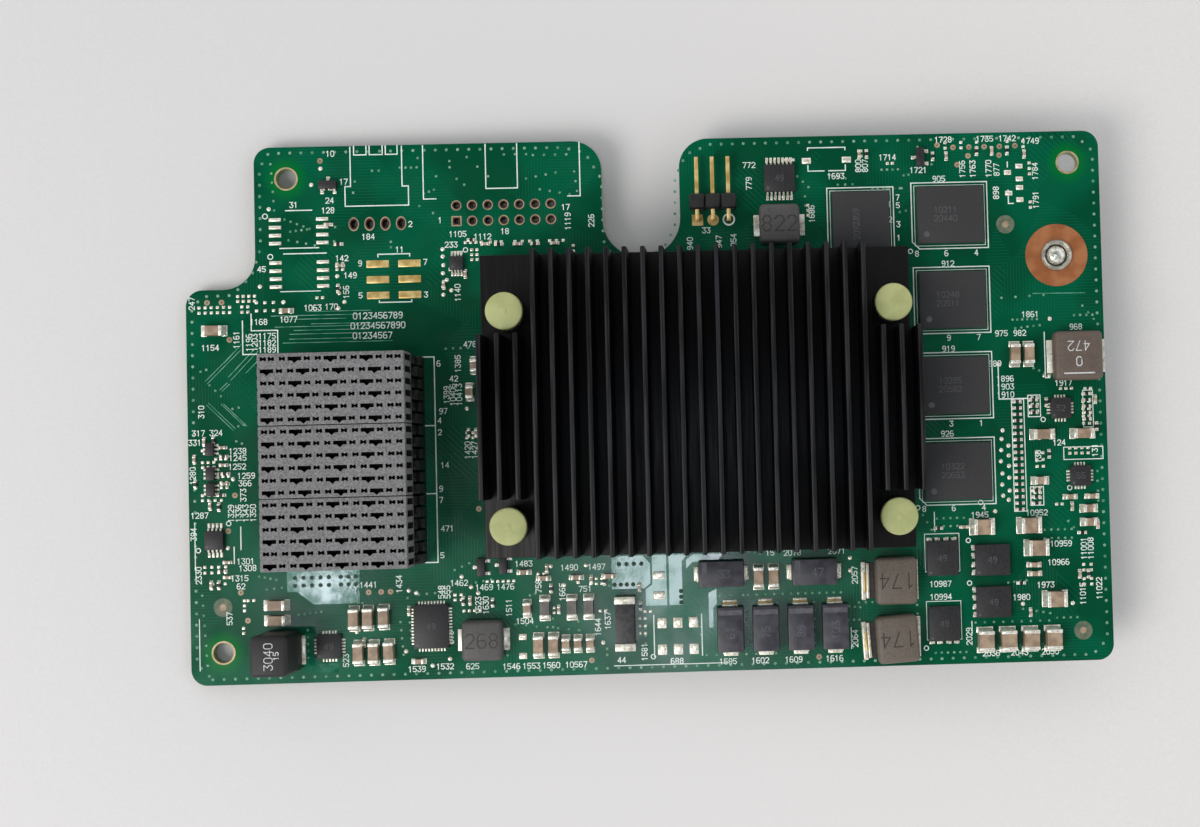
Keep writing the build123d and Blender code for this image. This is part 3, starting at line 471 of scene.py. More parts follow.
# Open tinned lands: the places along the card, those across it, and the length and width of each, in mm
OPEN_LANDS = (
    ((14.46, 22.04), (74.54, 73.29, 72.0, 70.71, 67.57, 66.25, 64.96, 63.68), 2.0, 0.62),
    ((100.57,), (82.29,), 1.5, 1.0), ((107.1,), (82.36,), 1.5, 1.0), ((135.3,), (80.7, 78.6, 77.2, 75.2), 1.2, 0.8),
    ((133.4,), (79.7,), 1.2, 0.8), ((133.5,), (76.3,), 1.2, 0.8), ((75.29, 77.86, 80.39), (7.96, 3.68), 1.5, 1.7),
    ((74.96,), (15.64, 12.43), 1.9, 1.3), ((52.89,), (6.36, 3.32), 1.3, 1.0),
)
tinned_pads = [slab(x, y, *size) for columns, rows, *size in OPEN_LANDS for x in columns for y in rows]
domed("open_solder_lands", tinned_pads, tin_solder, 0.24)
gold_pads = [slab(x, y, 3.6, 1.15) for x in (30.82, 35.93) for y in (67.04, 64.5, 61.96)]
domed("gold_switch_lands", gold_pads, gold_plate, 0.08)

# Small vias under the mask in short rows, each row (x, y, step along, step across, count) in mm, and the
# round test lands and unfitted chip lands, as grids (x, y, columns, rows, pitch along, pitch across)
VIA_ROWS = (
    (13.9, 83.6, 0.1, -1.5, 6), (16.0, 74.6, 1.0, -0.4, 5), (16.9, 72.6, 0.9, 0.1, 4), (16.6, 71.2, 1.4, -0.3, 4),
    (23.9, 70.9, 0.2, 2.3, 2), (27.4, 80.5, -0.3, -1.8, 2), (30.2, 82.2, 1.1, 0, 2), (34.7, 82.6, 0.9, 0, 4),
    (37.6, 84.1, 2.9, -3.0, 2), (38.5, 78.3, 0.8, 0.3, 3), (42.7, 83.5, 0, -1.0, 2), (43.8, 80.6, 1.2, -1.0, 2),
    (45.5, 84.1, 1.7, -1.6, 3), (37.7, 76.3, 2.2, -1.2, 2), (33.0, 70.6, 0, -0.9, 2), (51.5, 84.4, 1.8, 0.0, 3),
    (56.2, 84.2, 1.8, 0.0, 4), (55.0, 80.4, 1.6, 0.3, 4), (57.2, 78.6, 1.6, -0.3, 4), (62.8, 81.4, 0.2, -1.6, 3),
    (41.5, 53.1, 1.2, 0, 4), (2.2, 50.3, 0.9, 0.3, 2), (3.6, 48.1, 0.9, -0.9, 3), (7.2, 44.2, 1.0, 0.2, 2),
    (8.1, 41.4, 1.0, 0.2, 2), (7.7, 39.0, 0.9, -0.4, 2), (99.0, 79.8, 0.9, -0.9, 3), (100.2, 76.5, 0.0, -1.5, 2),
    (104.3, 79.9, 1.3, -0.3, 3), (105.6, 78.3, 1.2, 0, 3), (112.8, 80.6, 0.9, 0, 4), (111.2, 77.5, 0.9, 0, 6),
    (116.4, 79.6, 0.8, 0.1, 2), (115.6, 73.6, 1.0, 0.2, 2), (113.6, 77.5, 1.2, 0, 3), (118.8, 84.2, 0, -1.2, 2),
    (119.0, 81.5, 1.0, -0.1, 3), (133.5, 55.6, 0.8, 0, 6), (133.9, 54.2, 1.0, 0.1, 5), (145.0, 57.6, 0.9, -1.1, 3),
    (143.6, 56.1, 1.0, 0, 4), (131.8, 59.2, 2.3, 0.1, 4), (97.4, 12.1, 1.15, 0, 7), (89.3, 12.1, 1.4, 0, 6),
    (84.7, 12.1, 1.9, 0, 3), (94.0, 10.6, 0, -1.3, 6), (88.9, 10.6, 0, -1.3, 6), (99.9, 10.6, 0, -1.3, 6),
    (105.6, 9.8, 0.9, -0.1, 3), (105.4, 7.6, 0.9, 0, 3), (107.2, 10.4, 1.1, 0, 8), (116.6, 12.5, 0, -1.4, 6),
    (120.2, 23.6, 1.1, 0, 5), (120.2, 22.3, 1.1, 0, 5), (117.9, 24.2, 0.7, -1.2, 3), (131.5, 12.9, 1.0, 0.1, 4),
    (137.7, 21.3, 1.1, 0, 5), (137.7, 19.9, 1.1, 0, 5), (141.6, 22.6, 0.9, -1.0, 3), (119.4, 1.9, 1.0, 0, 6),
    (126.0, 6.6, 1.5, 0, 9), (139.3, 7.0, 1.1, 0, 4), (133.8, 8.6, 1.1, -0.2, 5), (146.6, 30.6, 0, -1.6, 4),
    (136.7, 47.6, 0.9, -0.4, 4), (24.3, 18.0, 1.1, 0, 1), (34.6, 13.1, 0.1, -1.3, 6), (33.4, 9.3, 0.1, -1.3, 5),
    (26.2, 12.9, 1.2, -0.4, 5), (42.2, 17.4, 1.2, 0.5, 3), (45.6, 15.3, 1.2, 0.2, 3), (50.4, 4.4, 0, -0.9, 2),
    (54.2, 13.0, 0.9, 0.3, 3), (57.8, 9.2, 0, -1.4, 3), (61.9, 8.6, 0, -1.4, 3), (51.8, 8.4, 1.7, -0.2, 7),
    (66.4, 4.1, 0, -1.0, 2), (67.0, 15.2, 0, -1.0, 2), (72.6, 7.2, 0, -1.2, 4), (81.6, 4.6, 0, 1.3, 3),
    (82.4, 2.6, 1.6, 0, 8), (85.8, 16.4, 0, -1.0, 1), (97.4, 19.2, 1.4, 0.1, 4), (89.6, 19.1, 0.9, -0.2, 3),
    (1.9, 14.4, 0.1, -1.6, 8), (11.0, 17.2, 0.9, -0.2, 4), (12.2, 15.1, 1.2, 0.1, 3), (17.2, 10.9, 0.9, 0.1, 5),
    (18.6, 8.4, 0, -1.1, 5), (36.4, 13.6, 1.3, 0.1, 5),
)
small_vias = [(x + i * dx, y + i * dy) for x, y, dx, dy, count in VIA_ROWS for i in range(count)]
domed("small_vias", [disc(*place, 0.21, 8) for place in small_vias], via_mask, 0.03)
TEST_LANDS = (
    (41.3, 69.2), (41.3, 68.0), (41.4, 66.6), (41.3, 65.3), (41.9, 64.2), (41.3, 63.1), (42.6, 62.5), (41.3, 61.8),
    (13.5, 76.3), (15.6, 61.2), (24.4, 60.0), (25.4, 61.0), (24.3, 65.2), (11.9, 63.8), (20.4, 80.1), (21.9, 82.7),
    (139.6, 55.6), (44.7, 43.3), (34.8, 14.3), (36.0, 13.9), (43.3, 16.3), (44.8, 14.6), (45.9, 13.6), (34.2, 4.6),
    (41.2, 3.2), (38.4, 2.2), (7.1, 32.9), (6.1, 21.9), (57.6, 17.6), (63.3, 17.6), (59.7, 14.5), (65.8, 5.1),
    (105.9, 15.6), (105.9, 17.6), (133.8, 9.4), (141.9, 9.3), (129.7, 24.5), (131.3, 37.6), (131.1, 36.2),
    (132.2, 35.1), (131.0, 34.4), (132.2, 33.5), (130.9, 32.6), (132.2, 31.8), (131.1, 30.6), (132.2, 29.9),
    (131.0, 28.8), (132.2, 27.8), (131.1, 27.0), (132.0, 26.3), (130.9, 48.4),
)
domed("round_test_lands", [disc(*place, 0.36, 10) for place in TEST_LANDS], tin_solder, 0.16)
LAND_GRIDS = (
    (2.1, 59.75, 6, 2, 0.98, 0.85), (8.95, 59.75, 2, 2, 0.95, 0.85), (8.3, 61.5, 4, 2, 0.9, 0.8),
    (11.3, 59.9, 3, 2, 1.35, 1.3), (24.3, 66.3, 2, 2, 0.9, 0.9), (45.0, 70.2, 4, 1, 0.85, 1),
    (49.0, 70.2, 3, 1, 0.9, 1), (46.0, 67.4, 2, 3, 0.85, 0.8), (21.0, 61.8, 2, 1, 0.9, 1),
    (24.6, 62.4, 1, 2, 1, 0.9), (53.0, 70.2, 4, 1, 1.2, 1), (58.6, 70.2, 3, 1, 1.1, 1), (62.4, 66.6, 1, 4, 1, 0.9),
    (44.6, 38.6, 2, 2, 1.0, 0.8), (58.0, 10.1, 2, 2, 0.8, 0.8), (65.4, 10.2, 2, 1, 0.9, 1),
    (72.6, 9.9, 2, 1, 0.9, 1), (71.7, 6.4, 2, 3, 0.9, 1.2), (43.6, 10.8, 4, 1, 0.85, 1),
    (47.4, 15.4, 6, 1, 0.85, 1), (42.2, 12.6, 2, 2, 1.0, 0.8), (64.0, 14.6, 3, 2, 0.9, 0.8),
    (55.6, 16.4, 2, 1, 0.9, 1), (136.3, 26.5, 2, 3, 0.85, 0.85), (136.3, 40.6, 2, 3, 0.85, 1.1),
    (139.8, 25.4, 2, 1, 0.9, 1), (144.6, 38.4, 2, 4, 0.95, 1.2), (136.8, 31.6, 2, 3, 1.0, 1.1),
    (142.2, 33.6, 4, 2, 1.0, 0.85), (138.4, 46.3, 2, 1, 0.8, 1), (141.0, 44.2, 3, 1, 0.9, 1),
    (145.0, 43.2, 2, 2, 0.9, 0.9), (123.3, 83.9, 1, 2, 1, 0.9), (125.9, 83.9, 1, 2, 1, 0.9),
    (128.5, 83.9, 1, 2, 1, 0.9), (133.5, 83.9, 1, 2, 1, 0.9), (136.1, 83.9, 1, 2, 1, 0.9),
    (109.5, 82.9, 2, 2, 0.9, 0.8), (113.8, 81.6, 2, 1, 0.8, 1), (137.0, 79.4, 1, 3, 1, 0.9),
    (137.0, 73.9, 1, 2, 1, 0.9), (96.7, 76.6, 2, 1, 0.7, 1), (100.6, 73.4, 1, 3, 1, 0.8),
    (97.0, 82.5, 3, 1, 0.7, 1), (2.3, 37.6, 2, 1, 0.9, 1), (2.3, 34.9, 3, 2, 0.9, 0.8), (4.4, 36.2, 3, 1, 0.8, 1),
    (2.2, 29.6, 4, 2, 1.0, 0.8), (5.2, 31.6, 2, 2, 0.9, 0.8), (4.6, 33.4, 3, 1, 0.9, 1),
    (2.4, 18.0, 4, 2, 1.1, 0.9), (3.6, 16.2, 3, 1, 1.0, 1), (143.9, 14.6, 2, 2, 1.2, 0.9),
    (143.9, 12.3, 2, 2, 1.2, 0.9), (8.6, 11.8, 1, 3, 1, 0.8), (8.4, 8.2, 1, 2, 1, 0.8), (9.2, 13.4, 2, 1, 0.9, 1),
)
small_lands = [
    slab(x + i * dx, y + j * dy, 0.5, 0.46)
    for x, y, columns, rows, dx, dy in LAND_GRIDS for i in range(columns) for j in range(rows)
]
domed("unfitted_chip_lands", small_lands, tin_solder, 0.1)

# Copper pours near the lower edge: wide flat areas whose mask is so smooth that it mirrors the lamps
POURS = (
    [(15.4, 18.2), (27.0, 18.2), (27.0, 12.5), (19.6, 12.5), (17.0, 14.6), (15.4, 14.6)],
    [(18.0, 7.9), (19.6, 7.9), (19.6, 3.0), (23.4, 3.0), (23.4, 1.6), (18.0, 1.6)],
    [(67.4, 18.9), (72.4, 18.9), (73.6, 17.6), (73.6, 14.4), (72.6, 13.6), (67.4, 13.6)],
    [(73.9, 18.9), (76.2, 18.9), (76.2, 10.8), (72.8, 10.8), (72.8, 13.4), (73.9, 14.2)],
    [(76.6, 18.9), (79.6, 18.9), (78.7, 17.8), (78.7, 10.8), (76.6, 10.8)],
    [(80.6, 18.9), (85.4, 18.9), (84.6, 17.9), (80.4, 17.6), (79.4, 16.6), (79.4, 18.0)],
    [(82.9, 12.6), (84.2, 13.2), (84.2, 10.8), (83.6, 10.2), (83.6, 7.0), (82.9, 7.0)],
)
flat("mask_over_pours", POURS, pour_mask, 0.01)
POUR_VIAS = (
    (16.7, (16.8, 15.55), 1.35, 0, 5), (24.0, (16.8, 15.55), 1.2, 0, 3), (68.6, (17.6,), 1.2, 0, 4),
    (67.8, (14.3,), 1.0, 0, 5), (78.5, (13.0,), 0, -0.9, 3),
)
pour_holes = [
    (x + i * dx, y + i * dy) for x, rows, dx, dy, count in POUR_VIAS for i in range(count) for y in rows
]
# A filled via is a dark green dimple in the smooth mask
pour_dark = finish("filled_via_in_pour", "#0C2C22", "#16402F", 0.6, 0.5, 0.2, 0.01)
flat("pour_vias", [disc(*place, 0.36, 12) for place in pour_holes], pour_dark, 0.016)

def card_place(point):
    """Millimetres along the card and across it of a point."""
    return (point.x - CARD_LOW.x) / MM, (point.y - CARD_LOW.y) / MM


# Printed lines, read off the photograph: round the headers and the socket, round each memory chip with
# a ring at its first corner, and round the smaller parts, as a width and then the lines drawn in it
HEADER_LINES = (
    [(26.7, 86.1), (26.7, 79.7), (25.8, 79.7), (25.8, 76.5), (36, 76.5), (36, 79.6), (35, 79.6), (35, 86.1)],
    [(38.4, 86.1), (38.4, 77.4), (40.4, 77.4)], [(63.7, 86.1), (63.7, 77.4), (61.7, 77.4)],
    [(48.5, 86.1), (48.5, 78.9), (53.6, 78.9), (53.6, 86.1)],
    [(39.1, 51.8), (39.6, 51.8), (39.6, 18.7), (37.6, 18.7)], [(38.0, 40.7), (39.6, 40.7)],
    [(38.0, 29.75), (39.6, 29.75)], [(36.5, 51.8), (39.6, 51.8)],
)
FINE, FINEST = 0.14, 0.12
SMALL_LINES = (
    (LINE_WIDTH, [(16.2, 76.0), (20.4, 76.0)], [(9.0, 58.3), (9.0, 52.9), (11.4, 52.9)],
     [(10.4, 59.4), (10.4, 56.7), (14.6, 56.7), (14.6, 53.1)], [(130.9, 47.9), (130.9, 42.7), (135.5, 42.7)]),
    (FINE, corners(132.9, 24.4, 134.9, 42.6), corners(135.6, 39.7, 137.6, 43.2), corners(135.6, 25.3, 137.7, 28.3)),
    (FINEST, corners(144.6, 37.8, 146.2, 43.8)), (FINE, corners(141.2, 32.6, 147.6, 34.6)),
    (LINE_WIDTH, [(74.0, 9.2), (74.0, 2.6)], [(81.7, 9.2), (81.7, 2.6)]), (FINE, [(67.5, 1.3), (86.0, 1.3)]),
    (LINE_WIDTH, [(30.9, 68.2), (30.9, 68.6), (36.0, 68.6), (36.0, 68.2)],
     [(31.0, 61.1), (31.0, 60.8), (36.2, 60.8), (36.2, 61.1)], [(15.2, 69.9), (21.4, 69.9)],
     [(15.8, 69.0), (22.6, 69.0)]),
    (FINE, [(15.2, 62.9), (21.6, 62.9)]),
    (LINE_WIDTH, [(27.3, 86.2), (27.3, 84.8), (29.3, 84.8), (29.3, 86.2)],
     [(29.8, 86.2), (29.8, 84.8), (31.9, 84.8), (31.9, 86.2)],
     [(32.4, 86.2), (32.4, 84.8), (34.3, 84.8), (34.3, 86.2)],
     [(100.8, 81.5), (100.8, 80.6), (103.4, 80.6)], [(104.2, 80.6), (106.9, 80.6), (106.9, 81.5)],
     [(100.8, 84.0), (100.8, 84.4), (106.9, 84.4), (106.9, 84.0)], [(8.2, 25.2), (8.2, 21.6)]),
    (FINE, [(0.9, 18.4), (0.9, 26.0)]), (LINE_WIDTH, [(7.1, 22.0), (7.1, 19.4)]), (FINE, [(1.4, 10.6), (1.4, 2.4)]),
    (LINE_WIDTH, [(133.4, 81.4), (133.4, 80.6)], [(133.4, 76.8), (133.4, 74.6), (134.2, 74.6)],
     [(138.6, 53.4), (138.6, 46.0), (139.3, 46.0)]),
    (FINEST, corners(118.1, 15.0, 123.7, 21.1), corners(118.1, 4.0, 123.7, 10.2)),
    (FINE, [(119.8, 21.5), (119.8, 24.6)], [(105.8, 6.4), (105.8, 3.0)], [(125.4, 6.8), (125.4, 4.9)]),
)
FIRST_PIN_RINGS = (
    (45.0, 69.0), (127.4, 26.0), (125.2, 19.9), (125.2, 13.0), (117.9, 2.7), (138.0, 39.2), (142.0, 28.0),
    (73.8, 2.6), (6.3, 25.8), (1.4, 21.6),
)
MEMORY_CHIPS = 5
ink = [face for points in HEADER_LINES for face in stroke(points)]
for i in range(MEMORY_CHIPS):
    low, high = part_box(f"memory_chip_{i + 1}")
    (x1, y1), (x2, y2) = card_place(low), card_place(high)
    ink += stroke([(x1 + 0.4, y1 - 0.75), (x2 + 0.75, y1 - 0.75), (x2 + 0.75, y2 + 0.75), (x1 - 0.75, y2 + 0.75),
                   (x1 - 0.75, y1 + 0.4), (x1 + 0.4, y1 - 0.75)])
    ink += stroke(corners(x1 - 0.28, y1 - 0.28, x2 + 0.28, y2 + 0.28), 0.1)
    ink += ring(x1 - 1.1, y1 - 1.1, 0.28, 0.42, 14)
for x, y in ((12.89, 75.14), (13.64, 68.57)):
    ink += ring(x, y, 0.32, 0.48, 16)
for width, *drawn in SMALL_LINES:
    ink += [face for points in drawn for face in stroke(points, width)]
for x, y in FIRST_PIN_RINGS:
    ink += ring(x, y, 0.28, 0.44, 14)
flat("printed_outlines", ink, white_ink, INK_LIFT)

# Routed lines that show under the mask: pairs that run slantwise beside the socket and along the card
# under the switch lands. They are copper, so they are drawn a little proud of the mask.
mask_lines = []
for points in (
    [(6.6, 49.3), (11.4, 54.3)], [(7.0, 48.8), (11.4, 53.4)], [(9.4, 49.9), (11.4, 51.9)],
    [(6.0, 51.6), (9.2, 55.0)], [(2.9, 48.7), (8.3, 54.0)], [(3.2, 48.3), (8.6, 53.6)], [(3.4, 45.2), (7.6, 41.0)],
    [(3.1, 44.9), (7.3, 40.7)], [(5.4, 45.0), (9.0, 41.4)], [(5.8, 45.0), (9.4, 41.4)], [(5.2, 47.3), (6.4, 48.4)],
    [(5.6, 47.1), (6.8, 48.2)], [(13.6, 59.0), (27.6, 59.0)], [(14.2, 57.2), (29.6, 57.2)],
    [(17.2, 56.6), (29.0, 56.6)], [(16.5, 55.2), (29.0, 55.2)], [(15.4, 54.6), (33.0, 54.6)],
    [(19.4, 59.6), (29.6, 59.6)], [(15.6, 58.4), (25.6, 58.4)], [(137.0, 59.8), (145.5, 59.7)],
    [(16.5, 56.0), (29.0, 56.0)], [(20.0, 57.6), (29.6, 57.6)],
):
    mask_lines += stroke(points, 0.1)
flat("routed_line_pairs", mask_lines, mask_line, COPPER_LIFT * 0.4)

# Printed reference numbers: plain running numbers stand where the card has its printed references.
# Each entry is a place in mm on the card, a turn in degrees and a count of digits.
DIGIT_STROKES = {
    "0": ((0, 0.2), (0, 0.8), (0.15, 1), (0.45, 1), (0.6, 0.8), (0.6, 0.2), (0.45, 0), (0.15, 0), (0, 0.2)),
    "1": ((0.1, 0.8), (0.3, 1), (0.3, 0)),
    "2": ((0, 0.8), (0.15, 1), (0.45, 1), (0.6, 0.8), (0.6, 0.6), (0, 0), (0.6, 0)),
    "3": ((0, 1), (0.6, 1), (0.3, 0.6), (0.6, 0.4), (0.6, 0.2), (0.45, 0), (0.15, 0), (0, 0.2)),
    "4": ((0.45, 0), (0.45, 1), (0, 0.3), (0.6, 0.3)),
    "5": ((0.6, 1), (0.05, 1), (0, 0.55), (0.4, 0.6), (0.6, 0.4), (0.6, 0.2), (0.4, 0), (0, 0.1)),
    "6": ((0.5, 1), (0.15, 1), (0, 0.7), (0, 0.2), (0.15, 0), (0.45, 0), (0.6, 0.2), (0.6, 0.4), (0.45, 0.55),
          (0, 0.5)),
    "7": ((0, 1), (0.6, 1), (0.2, 0)),
    "8": ((0.15, 0.53), (0, 0.75), (0.15, 1), (0.45, 1), (0.6, 0.75), (0.45, 0.53), (0.15, 0.53), (0, 0.3), (0.15, 0),
          (0.45, 0), (0.6, 0.3), (0.45, 0.53)),
    "9": ((0.6, 0.55), (0.15, 0.45), (0, 0.65), (0.15, 1), (0.45, 1), (0.6, 0.8), (0.6, 0.3), (0.4, 0), (0.1, 0)),
}


def number(text, x, y, turn=0, height=0.85, width=0.13):
    """The strokes of a plain number about a place, in the drawn digits of a plotter."""
    cosine, sine = math.cos(math.radians(turn)), math.sin(math.radians(turn))
    start = -(len(text) * 0.85 - 0.25) * height / 2
    strokes = []
    for i, digit in enumerate(text):
        points = []
        for px, py in DIGIT_STROKES[digit]:
            across, above = start + (px + i * 0.85) * height, (py - 0.5) * height
            points.append((x + across * cosine - above * sine, y + across * sine + above * cosine))
        strokes += stroke(points, width)
    return strokes


REFERENCES = (
    (23.5, 85.1, 0, 2), (25.6, 80.5, 0, 2), (23.3, 77.5, 0, 2), (17.5, 76.9, 0, 2), (23.0, 75.9, 0, 3),
    (12.2, 66.6, 0, 2), (25.1, 68.1, 0, 3), (26.4, 65.3, 0, 3), (25.7, 62.6, 90, 3), (20.3, 60.2, 0, 4),
    (23.3, 60.3, 0, 3), (16.4, 58.4, 0, 4), (29.4, 71.5, 0, 3), (34.4, 69.3, 0, 2), (51.4, 71.9, 0, 2),
    (43.8, 71.6, 0, 4), (47.8, 71.1, 0, 4), (61.6, 73.3, 90, 4), (65.4, 73.3, 90, 3), (42.7, 69.9, 0, 3),
    (43.6, 62.1, 90, 4), (0.95, 61.3, 90, 3), (3.8, 54.1, 0, 4), (8.0, 55.3, 90, 4), (11.6, 58.1, 0, 4),
    (12.9, 55.8, 0, 4), (12.9, 54.7, 0, 4), (12.9, 53.6, 0, 4), (10.0, 54.8, 90, 4), (10.9, 54.8, 90, 4),
    (2.2, 43.8, 90, 3), (1.7, 40.4, 0, 3), (4.5, 40.4, 0, 3), (1.1, 38.9, 0, 3), (7.9, 37.4, 0, 4),
    (7.9, 36.3, 0, 4), (7.8, 34.9, 0, 4), (9.2, 33.4, 0, 4), (9.0, 32.2, 0, 3), (8.7, 30.3, 90, 3),
    (0.7, 33.6, 90, 4), (1.7, 27.2, 0, 4), (0.7, 24.2, 90, 3), (8.9, 19.7, 0, 4), (9.2, 18.6, 0, 4),
    (7.9, 17.0, 0, 4), (8.1, 15.7, 0, 2), (6.7, 27.4, 90, 4), (7.9, 27.4, 90, 4), (9.0, 27.4, 90, 4),
    (10.2, 27.4, 90, 4), (40.9, 43.0, 0, 2), (41.0, 34.3, 0, 2), (41.2, 24.1, 0, 3), (45.4, 53.7, 0, 3),
    (43.4, 50.6, 90, 4), (42.7, 48.2, 0, 2), (41.5, 45.6, 90, 4), (42.5, 45.6, 90, 5), (43.5, 45.6, 90, 5),
    (44.7, 36.6, 90, 4), (45.8, 36.6, 90, 4), (33.3, 15.4, 90, 4), (28.4, 15.4, 0, 4), (40.0, 13.9, 90, 3),
    (41.0, 13.9, 90, 3), (42.9, 15.3, 0, 4), (46.9, 14.5, 0, 4), (50.3, 14.5, 0, 4), (53.3, 18.1, 0, 4),
    (60.6, 17.3, 0, 4), (65.0, 17.3, 0, 4), (53.3, 8.9, 0, 4), (50.8, 11.1, 90, 4), (41.4, 6.6, 90, 3),
    (44.8, 1.9, 0, 3), (40.4, 2.0, 0, 4), (35.9, 1.7, 0, 4), (51.0, 1.7, 0, 4), (54.2, 1.7, 0, 4),
    (57.4, 1.7, 0, 4), (61.4, 1.7, 0, 5), (68.7, 2.2, 0, 2), (72.4, 3.4, 90, 4), (77.6, 1.8, 0, 3),
    (85.8, 1.5, 0, 4), (91.0, 1.5, 0, 4), (96.4, 1.5, 0, 4), (103.0, 1.5, 0, 4), (45.9, 11.6, 90, 4),
    (47.1, 11.6, 90, 4), (66.6, 8.6, 90, 4), (65.0, 7.6, 90, 4), (63.1, 13.8, 0, 3), (55.6, 14.4, 90, 3),
    (59.4, 13.4, 90, 4), (91.2, 81.8, 0, 3), (91.1, 78.8, 90, 3), (101.2, 73.6, 90, 4), (105.3, 79.7, 0, 4),
    (109.0, 81.3, 90, 3), (110.1, 81.3, 90, 3), (113.8, 82.6, 0, 4), (118.8, 80.4, 0, 4), (123.0, 85.3, 0, 4),
    (129.8, 85.3, 0, 4), (133.5, 85.3, 0, 4), (137.3, 84.8, 0, 4), (126.0, 80.4, 90, 4), (127.7, 80.4, 90, 4),
    (130.3, 80.4, 90, 4), (131.6, 80.2, 90, 3), (137.9, 79.8, 90, 4), (137.9, 75.1, 90, 4), (131.4, 76.4, 90, 3),
    (122.1, 78.9, 0, 3), (123.2, 65.0, 0, 3), (122.9, 51.1, 0, 3), (122.3, 37.3, 0, 3), (84.0, 71.3, 0, 2),
    (81.3, 69.2, 90, 3), (86.0, 69.4, 90, 3), (88.4, 69.6, 90, 3), (136.4, 56.4, 0, 4), (143.8, 54.2, 0, 3),
    (131.6, 53.4, 0, 3), (134.6, 53.4, 0, 3), (130.4, 48.5, 0, 3), (132.0, 46.0, 0, 4), (132.0, 44.7, 0, 4),
    (132.0, 43.4, 0, 4), (141.5, 45.1, 0, 4), (140.5, 35.4, 0, 3), (146.3, 34.0, 90, 3), (137.0, 33.2, 90, 3),
    (127.2, 24.0, 0, 4), (136.5, 24.1, 0, 5), (140.3, 19.0, 0, 5), (139.8, 16.0, 0, 5), (137.6, 12.4, 0, 4),
    (133.6, 10.5, 0, 4), (120.5, 13.0, 0, 5), (120.5, 10.9, 0, 5), (144.0, 18.1, 90, 5), (145.1, 18.1, 90, 5),
    (143.6, 10.8, 90, 5), (146.3, 11.6, 90, 5), (124.9, 4.4, 90, 4), (128.4, 1.6, 0, 4), (133.0, 1.6, 0, 4),
    (138.0, 1.6, 0, 4), (106.6, 14.8, 90, 4), (106.4, 4.6, 90, 4), (103.8, 18.8, 0, 4), (96.6, 18.7, 0, 4),
    (93.0, 18.8, 0, 2), (113.8, 74.9, 0, 1), (114.0, 72.4, 0, 1), (114.0, 66.9, 0, 1), (115.3, 76.0, 0, 1),
    (115.3, 74.7, 0, 1), (115.3, 71.6, 0, 1), (115.3, 69.4, 0, 1), (118.2, 66.7, 0, 1), (123.0, 66.7, 0, 1),
    (127.9, 66.7, 0, 1), (118.2, 52.9, 0, 1), (123.0, 52.9, 0, 1), (127.9, 52.9, 0, 1), (118.2, 38.9, 0, 1),
    (123.0, 38.9, 0, 1), (127.9, 38.9, 0, 1), (118.2, 25.2, 0, 1), (123.0, 25.2, 0, 1), (127.9, 25.2, 0, 1),
    (36.2, 73.4, 0, 1), (28.0, 67.2, 0, 1), (38.5, 67.2, 0, 1), (28.0, 62.0, 0, 1), (38.5, 61.9, 0, 1),
    (41.0, 73.9, 0, 1), (61.3, 75.6, 0, 2), (40.3, 50.7, 0, 1), (40.3, 41.5, 0, 1), (40.3, 39.6, 0, 1),
    (40.3, 30.5, 0, 1), (40.3, 28.7, 0, 1), (40.3, 19.8, 0, 1), (11.2, 3.0, 90, 3), (24.6, 3.4, 90, 3),
    (1.4, 17.6, 90, 4), (6.2, 10.6, 90, 3),
)
references = []
for i, (x, y, turn, digits) in enumerate(REFERENCES):
    references += number(str(10 ** (digits - 1) + (i * 7) % (9 * 10 ** (digits - 1))), x, y, turn)
for text, x, y in (("0123456789", 30.7, 58.7), ("01234567890", 30.7, 57.1), ("01234567", 29.8, 55.5)):
    references += number(text, x, y, 0, 0.95, 0.14)
flat("printed_reference_numbers", references, white_ink, INK_LIFT)


def solids(node):
    """The centre, in metres, and the size, in mm, of each solid of a CAD node."""
    mesh = bmesh.new()
    mesh.from_mesh(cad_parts[node].data)
    bmesh.ops.remove_doubles(mesh, verts=mesh.verts, dist=1e-7)
    left, found = set(mesh.verts), []
    while left:
        group, edge = [], [left.pop()]
        while edge:
            corner = edge.pop()
            group.append(corner.co.copy())
            for near in (e.other_vert(corner) for e in corner.link_edges):
                if near in left:
                    left.remove(near)
                    edge.append(near)
        low = Vector([min(c[i] for c in group) for i in range(3)])
        high = Vector([max(c[i] for c in group) for i in range(3)])
        found.append(((low + high) / 2, (high - low) / MM))
    mesh.free()
    return sorted(found, key=lambda solid: tuple(solid[0]))


def seat(pieces, name, slot, *nodes, body="card"):
    """Joins pieces into one that rides on a body and stands for CAD nodes. The slot is not used."""
    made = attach(join(pieces, name), body)
    if nodes:
        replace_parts(made, *nodes)
    return made


# Network chip: a nickel-plated lid on a green laminate substrate with solder bumps at its rim, and a
# soft grey pad that carries heat to the sink. All three lie under the sink.
# The lid is a satin grey metal, the laminate a dull green and the pad a dead grey that takes no highlight
nickel_lid = finish("nickel_plated_lid", "#8F9092", "#A7A8A8", 4.0, 0.36, 0.3, 0.004, 0.85)
chip_laminate = finish("chip_laminate", "#1E4A34", "#2A5A3E", 3.0, 0.45, 0.2, 0.004)
soft_pad = finish("thermal_pad_silicone", "#7B7F85", "#90949A", 2.0, 0.75, 0.3, 0.02)
coat(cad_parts["network_chip_lid"], nickel_lid)
coat(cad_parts["network_chip_substrate"], chip_laminate)
coat(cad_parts["thermal_pad"], soft_pad)
